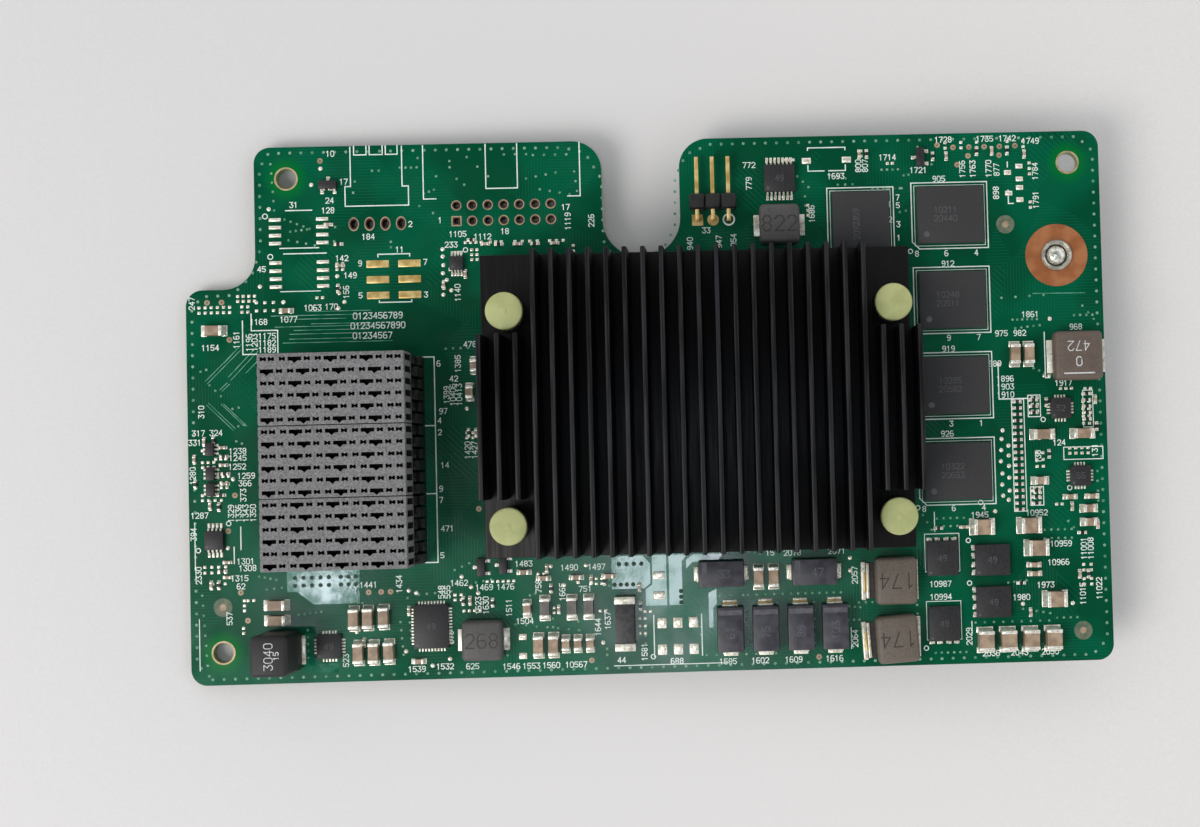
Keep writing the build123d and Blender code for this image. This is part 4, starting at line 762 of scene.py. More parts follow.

# Heat sink: one aluminium extrusion, anodised black, with twenty-five fins and its four corners milled
# down for the push pins. Draw lines run along the fins, and their tips carry a painted highlight of dark grey.
FIN_COUNT = 25
FIN_PITCH = 2.844
FIN_THICKNESS = 1.0
FIN_TIP = 0.74
SHORT_FINS = 3
UPPER_CLEAR = 13.0
LOWER_CLEAR = 9.2
BASE_THICKNESS = 2.6
SIDE_RELIEF = 1.2

anodised, tree, shader, where = blank("black_anodised_aluminium")
stretched = add(tree, "ShaderNodeVectorMath", {0: where, 1: (1.0, 0.03, 1.0)}, "Vector", operation="MULTIPLY")
streaks = add(tree, "ShaderNodeTexNoise", {"Vector": stretched, "Scale": 1 / (0.35 * MM), "Detail": 3.0})
depth = add(tree, "ShaderNodeSeparateXYZ", {"Vector": where}, "Z")
sink_low, sink_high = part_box("heat_sink")
# Two streaked shades: near-black for the anodising, and dark grey for the painted highlight on the fin tips.
shades = []
for limit, first, second in ((0.7, "#050506", "#0C0C0E"), (0.65, "#141417", "#2E2E33")):
    share = add(tree, "ShaderNodeMapRange", {"Value": streaks, "From Min": 0.4, "From Max": limit}, **SMOOTH)
    shades.append(add(tree, "ShaderNodeMix", {"Factor": share, "A": first, "B": second}, **COLOUR))
# Painted highlight: the top 0.35 mm of every fin fades towards the dark grey shade.
tip_highlight_band = {"Value": depth, "From Min": sink_high.z - 0.35 * MM, "From Max": sink_high.z - 0.05 * MM, "To Max": 0.75}
tip = add(tree, "ShaderNodeMapRange", tip_highlight_band, **SMOOTH)
black = add(tree, "ShaderNodeMix", {"Factor": tip, "A": shades[0], "B": shades[1]}, **COLOUR)
sheen = {"Value": streaks, "From Min": 0.3, "From Max": 0.7, "To Min": 0.34, "To Max": 0.5}
relief = add(tree, "ShaderNodeBump", {"Height": streaks, "Distance": 0.02 * MM, "Strength": 0.6})
tree.links.new(black, shader.inputs["Base Color"])
tree.links.new(add(tree, "ShaderNodeMapRange", sheen, **SMOOTH), shader.inputs["Roughness"])
tree.links.new(relief, shader.inputs["Normal"])
shader.inputs["Metallic"].default_value = 0.15
shader.inputs["Specular IOR Level"].default_value = 0.22

sink_x = ((sink_low.x + sink_high.x) / 2 - CARD_LOW.x) / MM
(left_x, low_y), (right_x, high_y) = card_place(sink_low), card_place(sink_high)
base_low, base_top = sink_low.z / MM, sink_low.z / MM + BASE_THICKNESS
base_outline = [
    (left_x, low_y), (right_x - SIDE_RELIEF, low_y), (right_x - SIDE_RELIEF, low_y + LOWER_CLEAR),
    (right_x, low_y + LOWER_CLEAR), (right_x, high_y - UPPER_CLEAR), (right_x - SIDE_RELIEF, high_y - UPPER_CLEAR),
    (right_x - SIDE_RELIEF, high_y), (left_x, high_y),
]
sink_parts = [flat("sink_base", [base_outline], anodised, base_low)]
modify(sink_parts[0], "SOLIDIFY", thickness=BASE_THICKNESS * MM, offset=1.0)
soften(sink_parts[0], 0.15)
fin_height = sink_high.z / MM - base_top
for i in range(FIN_COUNT):
    short = i < SHORT_FINS or i >= FIN_COUNT - SHORT_FINS
    foot, end = (low_y + LOWER_CLEAR, high_y - UPPER_CLEAR) if short else (low_y, high_y)
    place = spot(sink_x + (i - (FIN_COUNT - 1) / 2) * FIN_PITCH, (foot + end) / 2, base_top + fin_height / 2)
    fin = block((FIN_THICKNESS, end - foot, fin_height), place, anodised)
    for corner in fin.data.vertices:
        if corner.co.z > place.z:
            corner.co.x = place.x + (corner.co.x - place.x) * FIN_TIP / FIN_THICKNESS
    sink_parts.append(soften(fin, 0.16))
seat(sink_parts, "finned_heat_sink", "anodised_black", "heat_sink")

# Push pins: moulded nylon pins, pale yellow-green, with a round flat head, a shank and two barbed
# prongs sprung apart behind the board. A coil spring under each head holds the sink down.
HEAD_RADIUS = 2.95
HEAD_THICKNESS = 1.3
SHANK_RADIUS = 1.45
BARB_RADIUS = 1.95
BARB_LENGTH = 3.0
PRONG_GAP = 0.7
PRONG_DEPTH = 1.8
BARB_TIP = 0.95
GATE_RADIUS, GATE_RISE = 0.5, 0.03
PIN_INSET_X = 4.2
PIN_INSET_UPPER = 9.275
PIN_INSET_LOWER = 5.075
PIN_SPRING_RADIUS = 2.65
WIRE_RADIUS = 0.225

# Nylon looks a little waxy, because light goes a short way into it. The wire is drawn bright.
pin_nylon = finish("yellow_green_nylon", "#A2A86F", "#AFB47D", 3.0, 0.5, 0.3, 0.01)
nylon_shader = pin_nylon.node_tree.nodes["Principled BSDF"]
nylon_shader.inputs["Subsurface Weight"].default_value = 0.12
nylon_shader.inputs["Subsurface Radius"].default_value = (0.002, 0.002, 0.001)
spring_wire = finish("spring_steel_wire", "#9A9A98", "#BDBDBA", 1.0, 0.28, 0.15, 0.004, 0.95)
pin_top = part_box("push_pins")[1].z / MM


def pipe(points, radius, material, sides=2):
    """A round wire along points in metres, as a mesh."""
    data = bpy.data.curves.new("wire", "CURVE")
    data.dimensions, data.bevel_depth, data.bevel_resolution, data.use_fill_caps = "3D", radius * MM, sides, True
    line = data.splines.new("POLY")
    line.points.add(len(points) - 1)
    for i, point in enumerate(points):
        line.points[i].co = (*point, 1)
    made = bpy.data.objects.new("wire", data)
    bpy.context.scene.collection.objects.link(made)
    clear_selection()
    made.select_set(True)
    bpy.context.view_layer.objects.active = made
    bpy.ops.object.convert(target="MESH")
    coat(made, material)
    bpy.ops.object.shade_smooth()
    return made


def coil(centre, radius, foot, top, turns, wire, material, per_turn=20):
    """A coil spring about an axis, its end turns closed, from foot to top in mm."""
    points, total = [], turns * per_turn
    for i in range(total + 1):
        angle, share = 2 * math.pi * i / per_turn, i / total
        rise = (share - math.sin(2 * math.pi * share) / (2 * math.pi) * 0.6) * (top - foot - 2 * wire) + foot + wire
        points.append(centre + Vector((radius * math.cos(angle), radius * math.sin(angle), rise)) * MM)
    return pipe(points, wire, material)


head_low = pin_top - HEAD_THICKNESS
pin_head = soften(rod(HEAD_RADIUS, HEAD_THICKNESS, Vector((0, 0, head_low * MM)), 48, pin_nylon), 0.3, 3)
gate_mark = rod(GATE_RADIUS, 2 * GATE_RISE, Vector((0, 0, (pin_top - GATE_RISE) * MM)), 20, pin_nylon)
shank = rod(SHANK_RADIUS, head_low + BOARD_THICKNESS, Vector((0, 0, -BOARD_THICKNESS * MM)), 24, pin_nylon)
pin_parts = [pin_head, soften(gate_mark, 0.03), shank]
for half in (-1, 1):
    width = BARB_RADIUS - PRONG_GAP / 2
    prong = block(
        (width, PRONG_DEPTH, BARB_LENGTH),
        Vector((half * (PRONG_GAP / 2 + width / 2), 0, -BOARD_THICKNESS - BARB_LENGTH / 2)) * MM, pin_nylon,
    )
    for corner in prong.data.vertices:
        if corner.co.z < -(BOARD_THICKNESS + 1) * MM and abs(corner.co.x) > PRONG_GAP * MM:
            corner.co.x = half * BARB_TIP * MM
    pin_parts.append(soften(prong, 0.12))
pin_template = join(pin_parts, "push_pin")
for column, x in enumerate((left_x + PIN_INSET_X, right_x - PIN_INSET_X)):
    for row, y in enumerate((low_y + PIN_INSET_LOWER, high_y - PIN_INSET_UPPER)):
        pin = own(copy_to(pin_template, spot(x, y), 40 * (column + 2 * row)), f"push_pin_{1 + 2 * row + column}")
        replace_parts(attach(pin, "card"), "push_pins")
        wound = coil(spot(x, y), PIN_SPRING_RADIUS, base_top, head_low, 4, WIRE_RADIUS, spring_wire)
        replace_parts(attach(own(wound, f"push_pin_spring_{1 + 2 * row + column}"), "card"), "push_pin_springs")
drop(pin_template)

# Socket: three moulded modules side by side, each a grey slotted cap on six black contact wafers. The
# slots take the mating plug's blades: short ones waisted in the middle, long ones with a key notch.
CAP_HEIGHT = 6.0
SLOT_DEPTH = 3.0
ROW_PITCH = 1.85
ROWS = 6
LONG_SLOT = 2.05
SHORT_SLOT = 0.95
SLOT_HALF = 0.3
WAIST_HALF = 0.17
KEY_HALF, KEY_DEPTH = 0.46, 0.42
LONG_SHARES = ((-0.245, 0, 0.245), (-0.436, -0.190, 0.055, 0.300))
SHORT_SHARES = (
    (-0.460, -0.405, -0.330, -0.160, -0.085, 0.085, 0.160, 0.330, 0.405, 0.460),
    (-0.351, -0.275, -0.106, -0.030, 0.140, 0.215, 0.385, 0.460),
)
RIB_SHARES = ((-0.3675, -0.1225, 0.1225, 0.3675), (-0.313, -0.068, 0.1775, 0.4225))
RIB_SIZE = (0.22, 1.3, 0.12)
GROOVE_SIZE = (1.6, 0.95, 4.6)
WAFER_THICKNESS, WAFER_INSET = 1.5, 0.175
STEP_LENGTH, STEP_HEIGHT = 0.7, 3.2
GUSSET_SIZE, GUSSET_MIDDLE, GUSSET_TAPER = (0.7, 0.5, 2.6), 7.6, 0.65


def speckled(name, first, second, size, detail, limits, rough, relief, blotch=None):
    """A moulded or pressed material whose filler shows as specks of a size in mm, and in slow blotches."""
    made, tree, shader, where = blank(name)
    speck = add(tree, "ShaderNodeTexNoise", {"Vector": where, "Scale": 1 / (size * MM), "Detail": detail})
    share = {"Value": speck, "From Min": limits[0], "From Max": limits[1]}
    share = add(tree, "ShaderNodeMapRange", share, **SMOOTH)
    shade = add(tree, "ShaderNodeMix", {"Factor": share, "A": first, "B": second}, **COLOUR)
    if blotch:
        spread, low, high, most, colour = blotch
        cloud = add(tree, "ShaderNodeTexNoise", {"Vector": where, "Scale": 1 / (spread * MM)})
        share = {"Value": cloud, "From Min": low, "From Max": high, "To Max": most}
        share = add(tree, "ShaderNodeMapRange", share, **SMOOTH)
        shade = add(tree, "ShaderNodeMix", {"Factor": share, "A": shade, "B": colour}, **COLOUR)
    sheen = {"Value": speck, "From Min": 0.3, "From Max": 0.7, "To Min": rough[0], "To Max": rough[1]}
    bump = add(tree, "ShaderNodeBump", {"Height": speck, "Distance": relief[0] * MM, "Strength": relief[1]})
    tree.links.new(shade, shader.inputs["Base Color"])
    tree.links.new(add(tree, "ShaderNodeMapRange", sheen, **SMOOTH), shader.inputs["Roughness"])
    tree.links.new(bump, shader.inputs["Normal"])
    return made


# Glass-filled plastic is mid grey with light and dark specks. The wafers are a plain near-black, and the
# slots' walls are darker still, since hardly any light comes back out of them.
cap_plastic = speckled(
    "grey_glass_filled_plastic", "#525254", "#838385", 0.22, 4.0, (0.3, 0.7), (0.5, 0.66), (0.02, 0.7),
    (5, 0.4, 0.7, 0.3, "#6A6A6C"),
)
wafer_plastic = finish("black_wafer_plastic", "#101010", "#1C1C1C", 2.0, 0.55, 0.2, 0.01)
slot_dark = finish("shadowed_slot_wall", "#070707", "#0E0E0E", 1.0, 0.7, 0.2, 0.01)


def short_slot(x, y):
    """The outline of a waisted slot."""
    end, waist = SHORT_SLOT / 2, SHORT_SLOT / 6
    upper = [(end, SLOT_HALF), (waist, SLOT_HALF), (waist * 0.5, WAIST_HALF), (-waist * 0.5, WAIST_HALF),
             (-waist, SLOT_HALF), (-end, SLOT_HALF)]
    return [(x + px, y + py) for px, py in upper] + [(x - px, y - py) for px, py in upper]


def long_slot(x, y):
    """The outline of a long slot with its key notch on the lower side."""
    end = LONG_SLOT / 2
    points = [
        (end, SLOT_HALF), (-end, SLOT_HALF), (-end, -SLOT_HALF), (-KEY_HALF, -SLOT_HALF),
        (0, -SLOT_HALF - KEY_DEPTH), (KEY_HALF, -SLOT_HALF), (end, -SLOT_HALF),
    ]
    return [(x + px, y + py) for px, py in points]


for module in (1, 2, 3):
    low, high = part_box(f"socket_cap_{module}")
    centre, size = (low + high) / 2, (high - low) / MM
    mid_x, mid_y = card_place(centre)
    row_places = [mid_y + (ROWS - 1 - 2 * row) * ROW_PITCH / 2 for row in range(ROWS)]
    cap = soften(block(size, centre, cap_plastic, slot_dark), 0.1)
    cuts, ribs, grooves = [], [], []
    for row, row_y in enumerate(row_places):
        cuts += [long_slot(mid_x + size.x * share, row_y) for share in LONG_SHARES[row % 2]]
        cuts += [short_slot(mid_x + size.x * share, row_y) for share in SHORT_SHARES[row % 2]]
        for share in RIB_SHARES[row % 2]:
            place = spot(mid_x + size.x * share, row_y + 0.12, high.z / MM - 0.02)
            ribs.append(soften(block(RIB_SIZE, place, cap_plastic), 0.04, 1))
        wall_y = spot(0, row_y).y
        edge = block((0.2, ROW_PITCH * 0.78, CAP_HEIGHT - 0.2), Vector((low.x, wall_y, centre.z)), cap_plastic)
        ribs.append(soften(edge, 0.09))
        # Side grooves down the cap's far side; their walls take the painted shade of the slot walls.
        grooves.append(block(GROOVE_SIZE, Vector((high.x, wall_y, centre.z - 0.0002)), slot_dark))
    cutter = flat("slot_cutter", cuts, slot_dark, high.z / MM - SLOT_DEPTH)
    modify(cutter, "SOLIDIFY", thickness=(SLOT_DEPTH + 1) * MM, offset=1.0)
    for tool in (cutter, join(grooves, "side_grooves")):
        modify(cap, "BOOLEAN", object=tool, operation="DIFFERENCE", solver="EXACT", material_mode="TRANSFER")
        drop(tool)
    seat([cap, *ribs], f"socket_slotted_cap_{module}", "socket_grey", f"socket_cap_{module}")

    wafer_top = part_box(f"socket_wafers_{module}")[1].z / MM
    side_x = mid_x + size.x / 2
    wafers = []
    for row, row_y in enumerate(row_places):
        place, rise = spot(mid_x - WAFER_INSET, row_y, wafer_top / 2), 1 + row % 2
        body = block((size.x - 2 * WAFER_INSET, WAFER_THICKNESS, wafer_top), place, wafer_plastic)
        place = spot(side_x, row_y, STEP_HEIGHT / 2 * rise)
        step = block((STEP_LENGTH, WAFER_THICKNESS, STEP_HEIGHT * rise), place, wafer_plastic)
        gusset = block(GUSSET_SIZE, spot(side_x, row_y - 0.5, GUSSET_MIDDLE), wafer_plastic)
        for corner in gusset.data.vertices:
            if corner.co.z < GUSSET_MIDDLE * MM and corner.co.x > spot(side_x, 0).x:
                corner.co.x -= GUSSET_TAPER * MM
        wafers += [soften(body, 0.06, 1), soften(step, 0.06, 1), gusset]
    seat(wafers, f"socket_contact_wafers_{module}", "wafer_black", f"socket_wafers_{module}")

# Jumper header: a black moulded strip on three gold-plated square pins, bent so that they lie along the
# card, with their tails soldered through its plated holes.
PIN_SIZE = 0.64
PIN_TAIL = 3.0
HEADER_BLOCK = 2.5
# Filled nylon is near black with a soft sheen
header_nylon = finish("black_header_nylon", "#0C0C0D", "#18181A", 1.5, 0.5, 0.2, 0.008)
block_low, block_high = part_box("jumper_header_block")
pins_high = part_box("jumper_header_pins")[1]
strips, pins = [], []
for x, y in jumper_holes:
    place = Vector((spot(x, y).x, (block_low.y + block_high.y) / 2, (block_low.z + block_high.z) / 2))
    strips.append(soften(block((DEBUG_PITCH - 0.03, HEADER_BLOCK, HEADER_BLOCK), place, header_nylon), 0.28, 1))
seat(strips, "jumper_header_strip", "header_black", "jumper_header_block")
pin_height = pins_high.z / MM - PIN_SIZE / 2
for x, y in jumper_holes:
    foot = spot(x, y)
    reach = (pins_high.y - foot.y) / MM
    middle = foot + Vector((0, 0, (pin_height - PIN_TAIL) / 2)) * MM
    tail = block((PIN_SIZE, PIN_SIZE, pin_height + PIN_TAIL), middle, gold_plate)
    middle = foot + Vector((0, reach / 2 - PIN_SIZE / 4, pin_height)) * MM
    lying = block((PIN_SIZE, reach, PIN_SIZE), middle, gold_plate)
    pins += [soften(tail, 0.12), soften(lying, 0.12)]
seat(pins, "jumper_header_pins_bent", "pin_gold", "jumper_header_pins")
JUMPER_LANDS = (slab(*jumper_holes[0], 1.8, 1.8), disc(*jumper_holes[1], 0.95, 24))
raised("jumper_header_lands", JUMPER_LANDS, gold_plate, COPPER_LIFT * 2)
flat("jumper_header_ring", ring(*jumper_holes[2], 0.75, 1.02, 24), white_ink, INK_LIFT)

# Captive screw: a plated brass retainer swaged into the board, its rim turned over the bare copper
# land, and a slotted steel screw with a domed tip that a coil spring holds back under the card.
RIM_OUTER, RIM_INNER, RIM_STAND = 2.5, 2.0, 0.6
FLANGE_RADIUS = 3.69
LIP_BORE = 1.4
CORE_RADIUS, SHANK = 1.4, 1.25
captive_low, captive_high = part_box("captive_screw_retainer")
captive_axis = Vector(((captive_low.x + captive_high.x) / 2, (captive_low.y + captive_high.y) / 2, 0))
# Nickel plate is bright and faintly yellow, and the worn screw is whiter, with scuffs
plated_steel = finish("nickel_plated_steel", "#BDBBB0", "#DDDBD1", 0.8, 0.26, 0.15, 0.008, 0.65)
worn_steel = finish("worn_screw_steel", "#B4B5A6", "#F2F2EC", 0.5, 0.2, 0.4, 0.05, 0.7)


def turned(profile, centre, material, steps=56):
    """A turned piece from its half section, a closed loop of (radius, height) in mm."""
    mesh = bpy.data.meshes.new("turned")
    edges = [(i, (i + 1) % len(profile)) for i in range(len(profile))]
    mesh.from_pydata([(r * MM, 0, z * MM) for r, z in profile], edges, [])
    made = bpy.data.objects.new("turned", mesh)
    bpy.context.scene.collection.objects.link(made)
    modify(made, "SCREW", steps=steps, render_steps=steps, use_merge_vertices=True, merge_threshold=1e-7)
    mesh = bmesh.new()
    mesh.from_mesh(made.data)
    bmesh.ops.dissolve_degenerate(mesh, dist=1e-8, edges=mesh.edges)
    bmesh.ops.recalc_face_normals(mesh, faces=mesh.faces)
    mesh.to_mesh(made.data)
    mesh.free()
    made.data.transform(Matrix.Translation(centre))
    coat(made, material)
    clear_selection()
    made.select_set(True)
    bpy.context.view_layer.objects.active = made
    bpy.ops.object.shade_smooth_by_angle(angle=math.radians(40))
    return made

def about(point, turn):
    """The matrix of a turn in degrees about the upright axis through a point."""
    return Matrix.Translation(point) @ Matrix.Rotation(math.radians(turn), 4, "Z") @ Matrix.Translation(-point)


retainer = turned(
    [(1.76, -0.35), (1.78, 0.02), (2.08, 0.4), (2.26, RIM_STAND), (2.42, RIM_STAND), (2.48, 0.52),
     (RIM_OUTER, 0.36), (RIM_OUTER, -1.6), (FLANGE_RADIUS - 0.12, -1.6), (FLANGE_RADIUS, -1.72),
     (FLANGE_RADIUS, -2.28), (FLANGE_RADIUS - 0.12, -2.4), (RIM_OUTER, -2.4), (RIM_OUTER, -3.9),
     (RIM_OUTER - 0.1, -4.0), (LIP_BORE, -4.0), (LIP_BORE, -3.4), (RIM_INNER, -3.4), (RIM_INNER, -0.5)],
    captive_axis, plated_steel,
)
seat([retainer], "captive_screw_swaged_retainer", "plated_steel", "captive_screw_retainer")
SCREW_HEAD, HEAD_TOP, HEAD_BOTTOM = 3.69, -7.25, -9.05
screw_body = turned(
    [(0, 0.8), (0.45, 0.77), (0.9, 0.66), (1.28, 0.42), (1.5, 0.1), (1.58, -0.3), (CORE_RADIUS, -0.55),
     (CORE_RADIUS, -3.2), (SHANK, -3.3), (SHANK, HEAD_TOP), (SCREW_HEAD - 0.15, HEAD_TOP),
     (SCREW_HEAD, HEAD_TOP - 0.15), (SCREW_HEAD, HEAD_BOTTOM + 0.3), (SCREW_HEAD - 0.3, HEAD_BOTTOM),
     (0, HEAD_BOTTOM)],
    captive_axis, worn_steel,
)
for turn in (0, 90):
    slot_cut = block((3.4, 0.9, 2.0), captive_axis + Vector((0, 0, HEAD_BOTTOM * MM)), worn_steel)
    slot_cut.data.transform(about(captive_axis, turn))
    modify(screw_body, "BOOLEAN", object=slot_cut, operation="DIFFERENCE", solver="EXACT")
    drop(slot_cut)
THREAD_RADIUS, THREAD_FOOT, THREAD_LENGTH = 1.47, -3.1, 2.6
THREAD_TURNS, THREAD_STEPS = 6, 24
thread_points = []
for i in range(THREAD_TURNS * THREAD_STEPS + 1):
    angle = 2 * math.pi * i / THREAD_STEPS
    rise = THREAD_FOOT + THREAD_LENGTH * i / (THREAD_TURNS * THREAD_STEPS)
    point = Vector((THREAD_RADIUS * math.cos(angle), THREAD_RADIUS * math.sin(angle), rise))
    thread_points.append(captive_axis + point * MM)
thread = pipe(thread_points, 0.13, worn_steel, 1)
seat([screw_body, thread], "captive_screw_domed", "plated_steel", "captive_screw", body="screw")
washer = turned(
    [(SHANK + 0.08, -6.7), (FLANGE_RADIUS - 0.1, -6.7), (FLANGE_RADIUS, -6.8), (FLANGE_RADIUS, -7.1),
     (FLANGE_RADIUS - 0.1, -7.2), (SHANK + 0.08, -7.2)],
    captive_axis, plated_steel,
)
seat([washer], "captive_screw_flat_washer", "plated_steel", "captive_screw_washer", body="screw_washer")
# The spring presses between the retainer's flange and the washer
spring_low, spring_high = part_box("captive_screw_spring")
screw_coil = coil(
    captive_axis, (spring_high.x - spring_low.x) / 2 / MM - WIRE_RADIUS, spring_low.z / MM, spring_high.z / MM,
    4, WIRE_RADIUS, spring_wire,
)
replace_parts(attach(own(screw_coil, "captive_screw_coil_spring"), "card"), "captive_screw_spring")
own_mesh(screw_coil)

# Memory chips: a thin black laminate on solder balls under a moulded body, with a light round pin
# mark and a faint plain number burned in by laser.
LAMINATE_THICKNESS = 0.3
BALL_RADIUS = 0.2
BALL_INSET = 0.7
PIN_MARK_INSET = 1.5
MARK_LIFT = 0.01
# Moulding compound is charcoal with a sandy tooth, and darker on the small chips. Laser marks are barely
# lighter than it, the pin mark is a smoother disc, and the solder balls are dull silver.
mould_black = speckled(
    "black_moulding_compound", "#242426", "#343436", 0.18, 4.0, (0.3, 0.7), (0.5, 0.62), (0.012, 0.6),
)
mould_deep = finish("dark_moulding_compound", "#161618", "#232326", 0.3, 0.5, 0.18, 0.012)
laser_grey = finish("laser_marking", "#48484A", "#555557", 0.6, 0.6, 0.2, 0.004)
pin_mark = finish("moulded_pin_mark", "#4C4C4F", "#58585B", 0.6, 0.45, 0.2, 0.004)
ball_solder = finish("solder_ball", "#B8B6AE", "#D2D0C8", 0.5, 0.3, 0.2, 0.004, 0.6)


def marking(text, x, y, z, turn, height, width, material):
    """A plain number lying flat at a height over the card, in mm."""
    strokes = flat("mark", number(text, x, y, turn, height, width), material, z)
    strokes.parent = None
    return strokes


laminate_top = BALL_RADIUS + LAMINATE_THICKNESS
for i in range(MEMORY_CHIPS):
    low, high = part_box(f"memory_chip_{i + 1}")
    centre, size = (low + high) / 2, (high - low) / MM
    x, y = card_place(centre)
    top = high.z / MM
    place = spot(x, y, laminate_top - LAMINATE_THICKNESS / 2)
    parts = [block((size.x, size.y, LAMINATE_THICKNESS), place, chip_laminate)]
    place = spot(x, y, (top + laminate_top) / 2)
    parts.append(soften(block((size.x - 0.1, size.y - 0.1, top - laminate_top), place, mould_black), 0.07))
    for px in range(-5, 6):
        for py in (-1, 1):
            place = spot(x + px * size.x * 0.085, y + py * (size.y / 2 - BALL_INSET))
            parts.append(rod(BALL_RADIUS, BALL_RADIUS, place, 8, ball_solder))
    corner = (-size.x / 2 + PIN_MARK_INSET, -size.y / 2 + PIN_MARK_INSET)
    parts.append(rod(0.5, 0.02, spot(x + corner[0], y + corner[1], top), 24, pin_mark))
    turn = 90 if size.y > size.x else 0
    for value, shift in ((10211 + 37 * i, 0.8), (20440 + 71 * i, -0.6)):
        parts.append(marking(str(value), x - 0.8, y + shift, top + MARK_LIFT, turn, 0.9, 0.11, laser_grey))
    seat(parts, f"memory_package_{i + 1}", "chip_black", f"memory_chip_{i + 1}")

# Power inductors: blocks of pressed iron powder over a flat coil, each with two plated terminals bent
# round its ends and a plain value number inked on top.
# Pressed powder looks like fine-grained stone, in warm or cool grey. The inks are matt, and the tinned
# terminals are bright and faintly yellow.
POWDER_SHADES = (
    ("grey", "#3F3E3E", "#585756"), ("brown", "#4F463E", "#6E655B"), ("umber", "#4E433C", "#6B5E54"),
    ("black", "#0D0D0E", "#1A1A1C"),
)
powder = {
    kind: speckled(
        f"{kind}_iron_powder", first, second, 0.14, 5.0, (0.25, 0.75), (0.46, 0.64), (0.03, 0.6),
        (2.5, 0.45, 0.75, 0.35, first),
    )
    for kind, first, second in POWDER_SHADES
}
# The dark value ink also serves for the painted shadow under the inductor straps.
dark_ink_and_painted_shadow = finish("dark_value_ink_and_strap_shadow", "#26221F", "#3A3430", 0.6, 0.6, 0.2, 0.004)
pale_ink = finish("pale_value_ink", "#B9BBBD", "#D4D6D8", 0.6, 0.55, 0.2, 0.004)
plated_copper = finish("tinned_terminal", "#CCC8B8", "#F0EDE0", 0.8, 0.3, 0.3, 0.015, 0.4)
INDUCTORS = (
    ("grey", "822", 0, dark_ink_and_painted_shadow, 2.4, 0), ("grey", "268", 0, dark_ink_and_painted_shadow, 2.2, 0),
    ("brown", "174", 180, dark_ink_and_painted_shadow, 2.3, 0), ("brown", "174", 183, dark_ink_and_painted_shadow, 2.3, 0),
    ("umber", "472", 180, pale_ink, 1.5, 1.5), ("black", "3040", 90, pale_ink, 1.3, 0),
)
# The lower of the two brown inductors was soldered on a little askew
ASKEW_INDUCTOR, ASKEW_SIZE, ASKEW_TURN = 3, (6.7, 7.6, 3.0), 3.5
for i, (kind, value, turn, mark_ink, height, lift) in enumerate(INDUCTORS):
    low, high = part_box(f"power_inductor_{i + 1}")
    centre, size = (low + high) / 2, (high - low) / MM
    x, y = card_place(centre)
    shell = block(ASKEW_SIZE if i == ASKEW_INDUCTOR else size, centre, powder[kind])
    if i == ASKEW_INDUCTOR:
        shell.data.transform(about(centre, ASKEW_TURN))
    modify(shell, "BEVEL", width=0.75 * MM, segments=3, limit_method="ANGLE", angle_limit=math.radians(35))
    parts = [soften(shell, 0.06, 1, 20)]
    ink_z = high.z / MM + 0.012
    parts.append(marking(value, x, y + lift, ink_z, turn, height, height * 0.09, mark_ink))
    if kind == "umber":
        parts.append(marking("0", x, y - 1.0, ink_z, 180, 1.4, 0.16, mark_ink))
        parts.append(own(flat("bar", [slab(x, y - 2.9, 5.0, 0.22)], mark_ink, ink_z), "bar"))
    if kind == "black":
        parts.append(marking("15", x + 1.2, y + 0.1, ink_z, 90, 0.8, 0.11, mark_ink))
    slot = "inductor_brown" if kind == "umber" else f"inductor_{kind}"
    seat(parts, f"moulded_inductor_{i + 1}", slot, f"power_inductor_{i + 1}")


def plates(node, name, slot, material, edge=0.08):
    """Plates with rounded edges where a CAD node has its solids."""
    made = [soften(block(size, centre, material), edge) for centre, size in solids(node)]
    return seat(made, name, slot, node)


# The two wide inductors show a folded strap on the left: a tinned lip, a strip of bare gold and a fold, over a thin
# dark sheet of painted shadow next to the body
STRAP_LENGTH, STRAP_WIDTH = 3.7, 6.4
straps = []
for centre, size in solids("power_inductor_terminals"):
    x, y = card_place(centre)
    if size.x < STRAP_LENGTH - 0.1 or x > 110:
        straps.append(soften(block(size, centre, plated_copper), 0.1))
        continue
    left = -STRAP_LENGTH / 2
    strap = [
        # A thin dark sheet under the strap: painted shadow next to the body, in the dark ink.
        soften(block((STRAP_LENGTH - 0.1, STRAP_WIDTH - 0.6, 0.1), Vector((0.05, 0, 0.05)) * MM, dark_ink_and_painted_shadow), 0.02),
        soften(block((0.8, STRAP_WIDTH - 0.2, 0.5), Vector((left + 0.4, 0, 0.25)) * MM, plated_copper), 0.2, 3),
        soften(block((0.5, STRAP_WIDTH * 0.5, 0.56), Vector((left + 0.62, -0.2, 0.28)) * MM, gold_plate), 0.16, 3),
        soften(block((0.5, STRAP_WIDTH - 0.7, 0.42), Vector((left + 1.1, 0, 0.21)) * MM, plated_copper), 0.14),
    ]
    for part in strap:
        turn = math.radians(ASKEW_TURN if y < 6 else 0)
        part.data.transform(Matrix.Translation(spot(x, y)) @ Matrix.Rotation(turn, 4, "Z"))
    straps += strap
seat(straps, "inductor_end_terminals", "tinned", "power_inductor_terminals")

# Tantalum capacitors: slate moulded cases with drawn-in sides and a parting line, a pale polarity bar
# across one end and a tab bent under each end, soldered to a gold or a tinned land.
CASE_DRAFT = 0.1
BAR_WIDTH, BAR_INSET = 0.8, 0.95
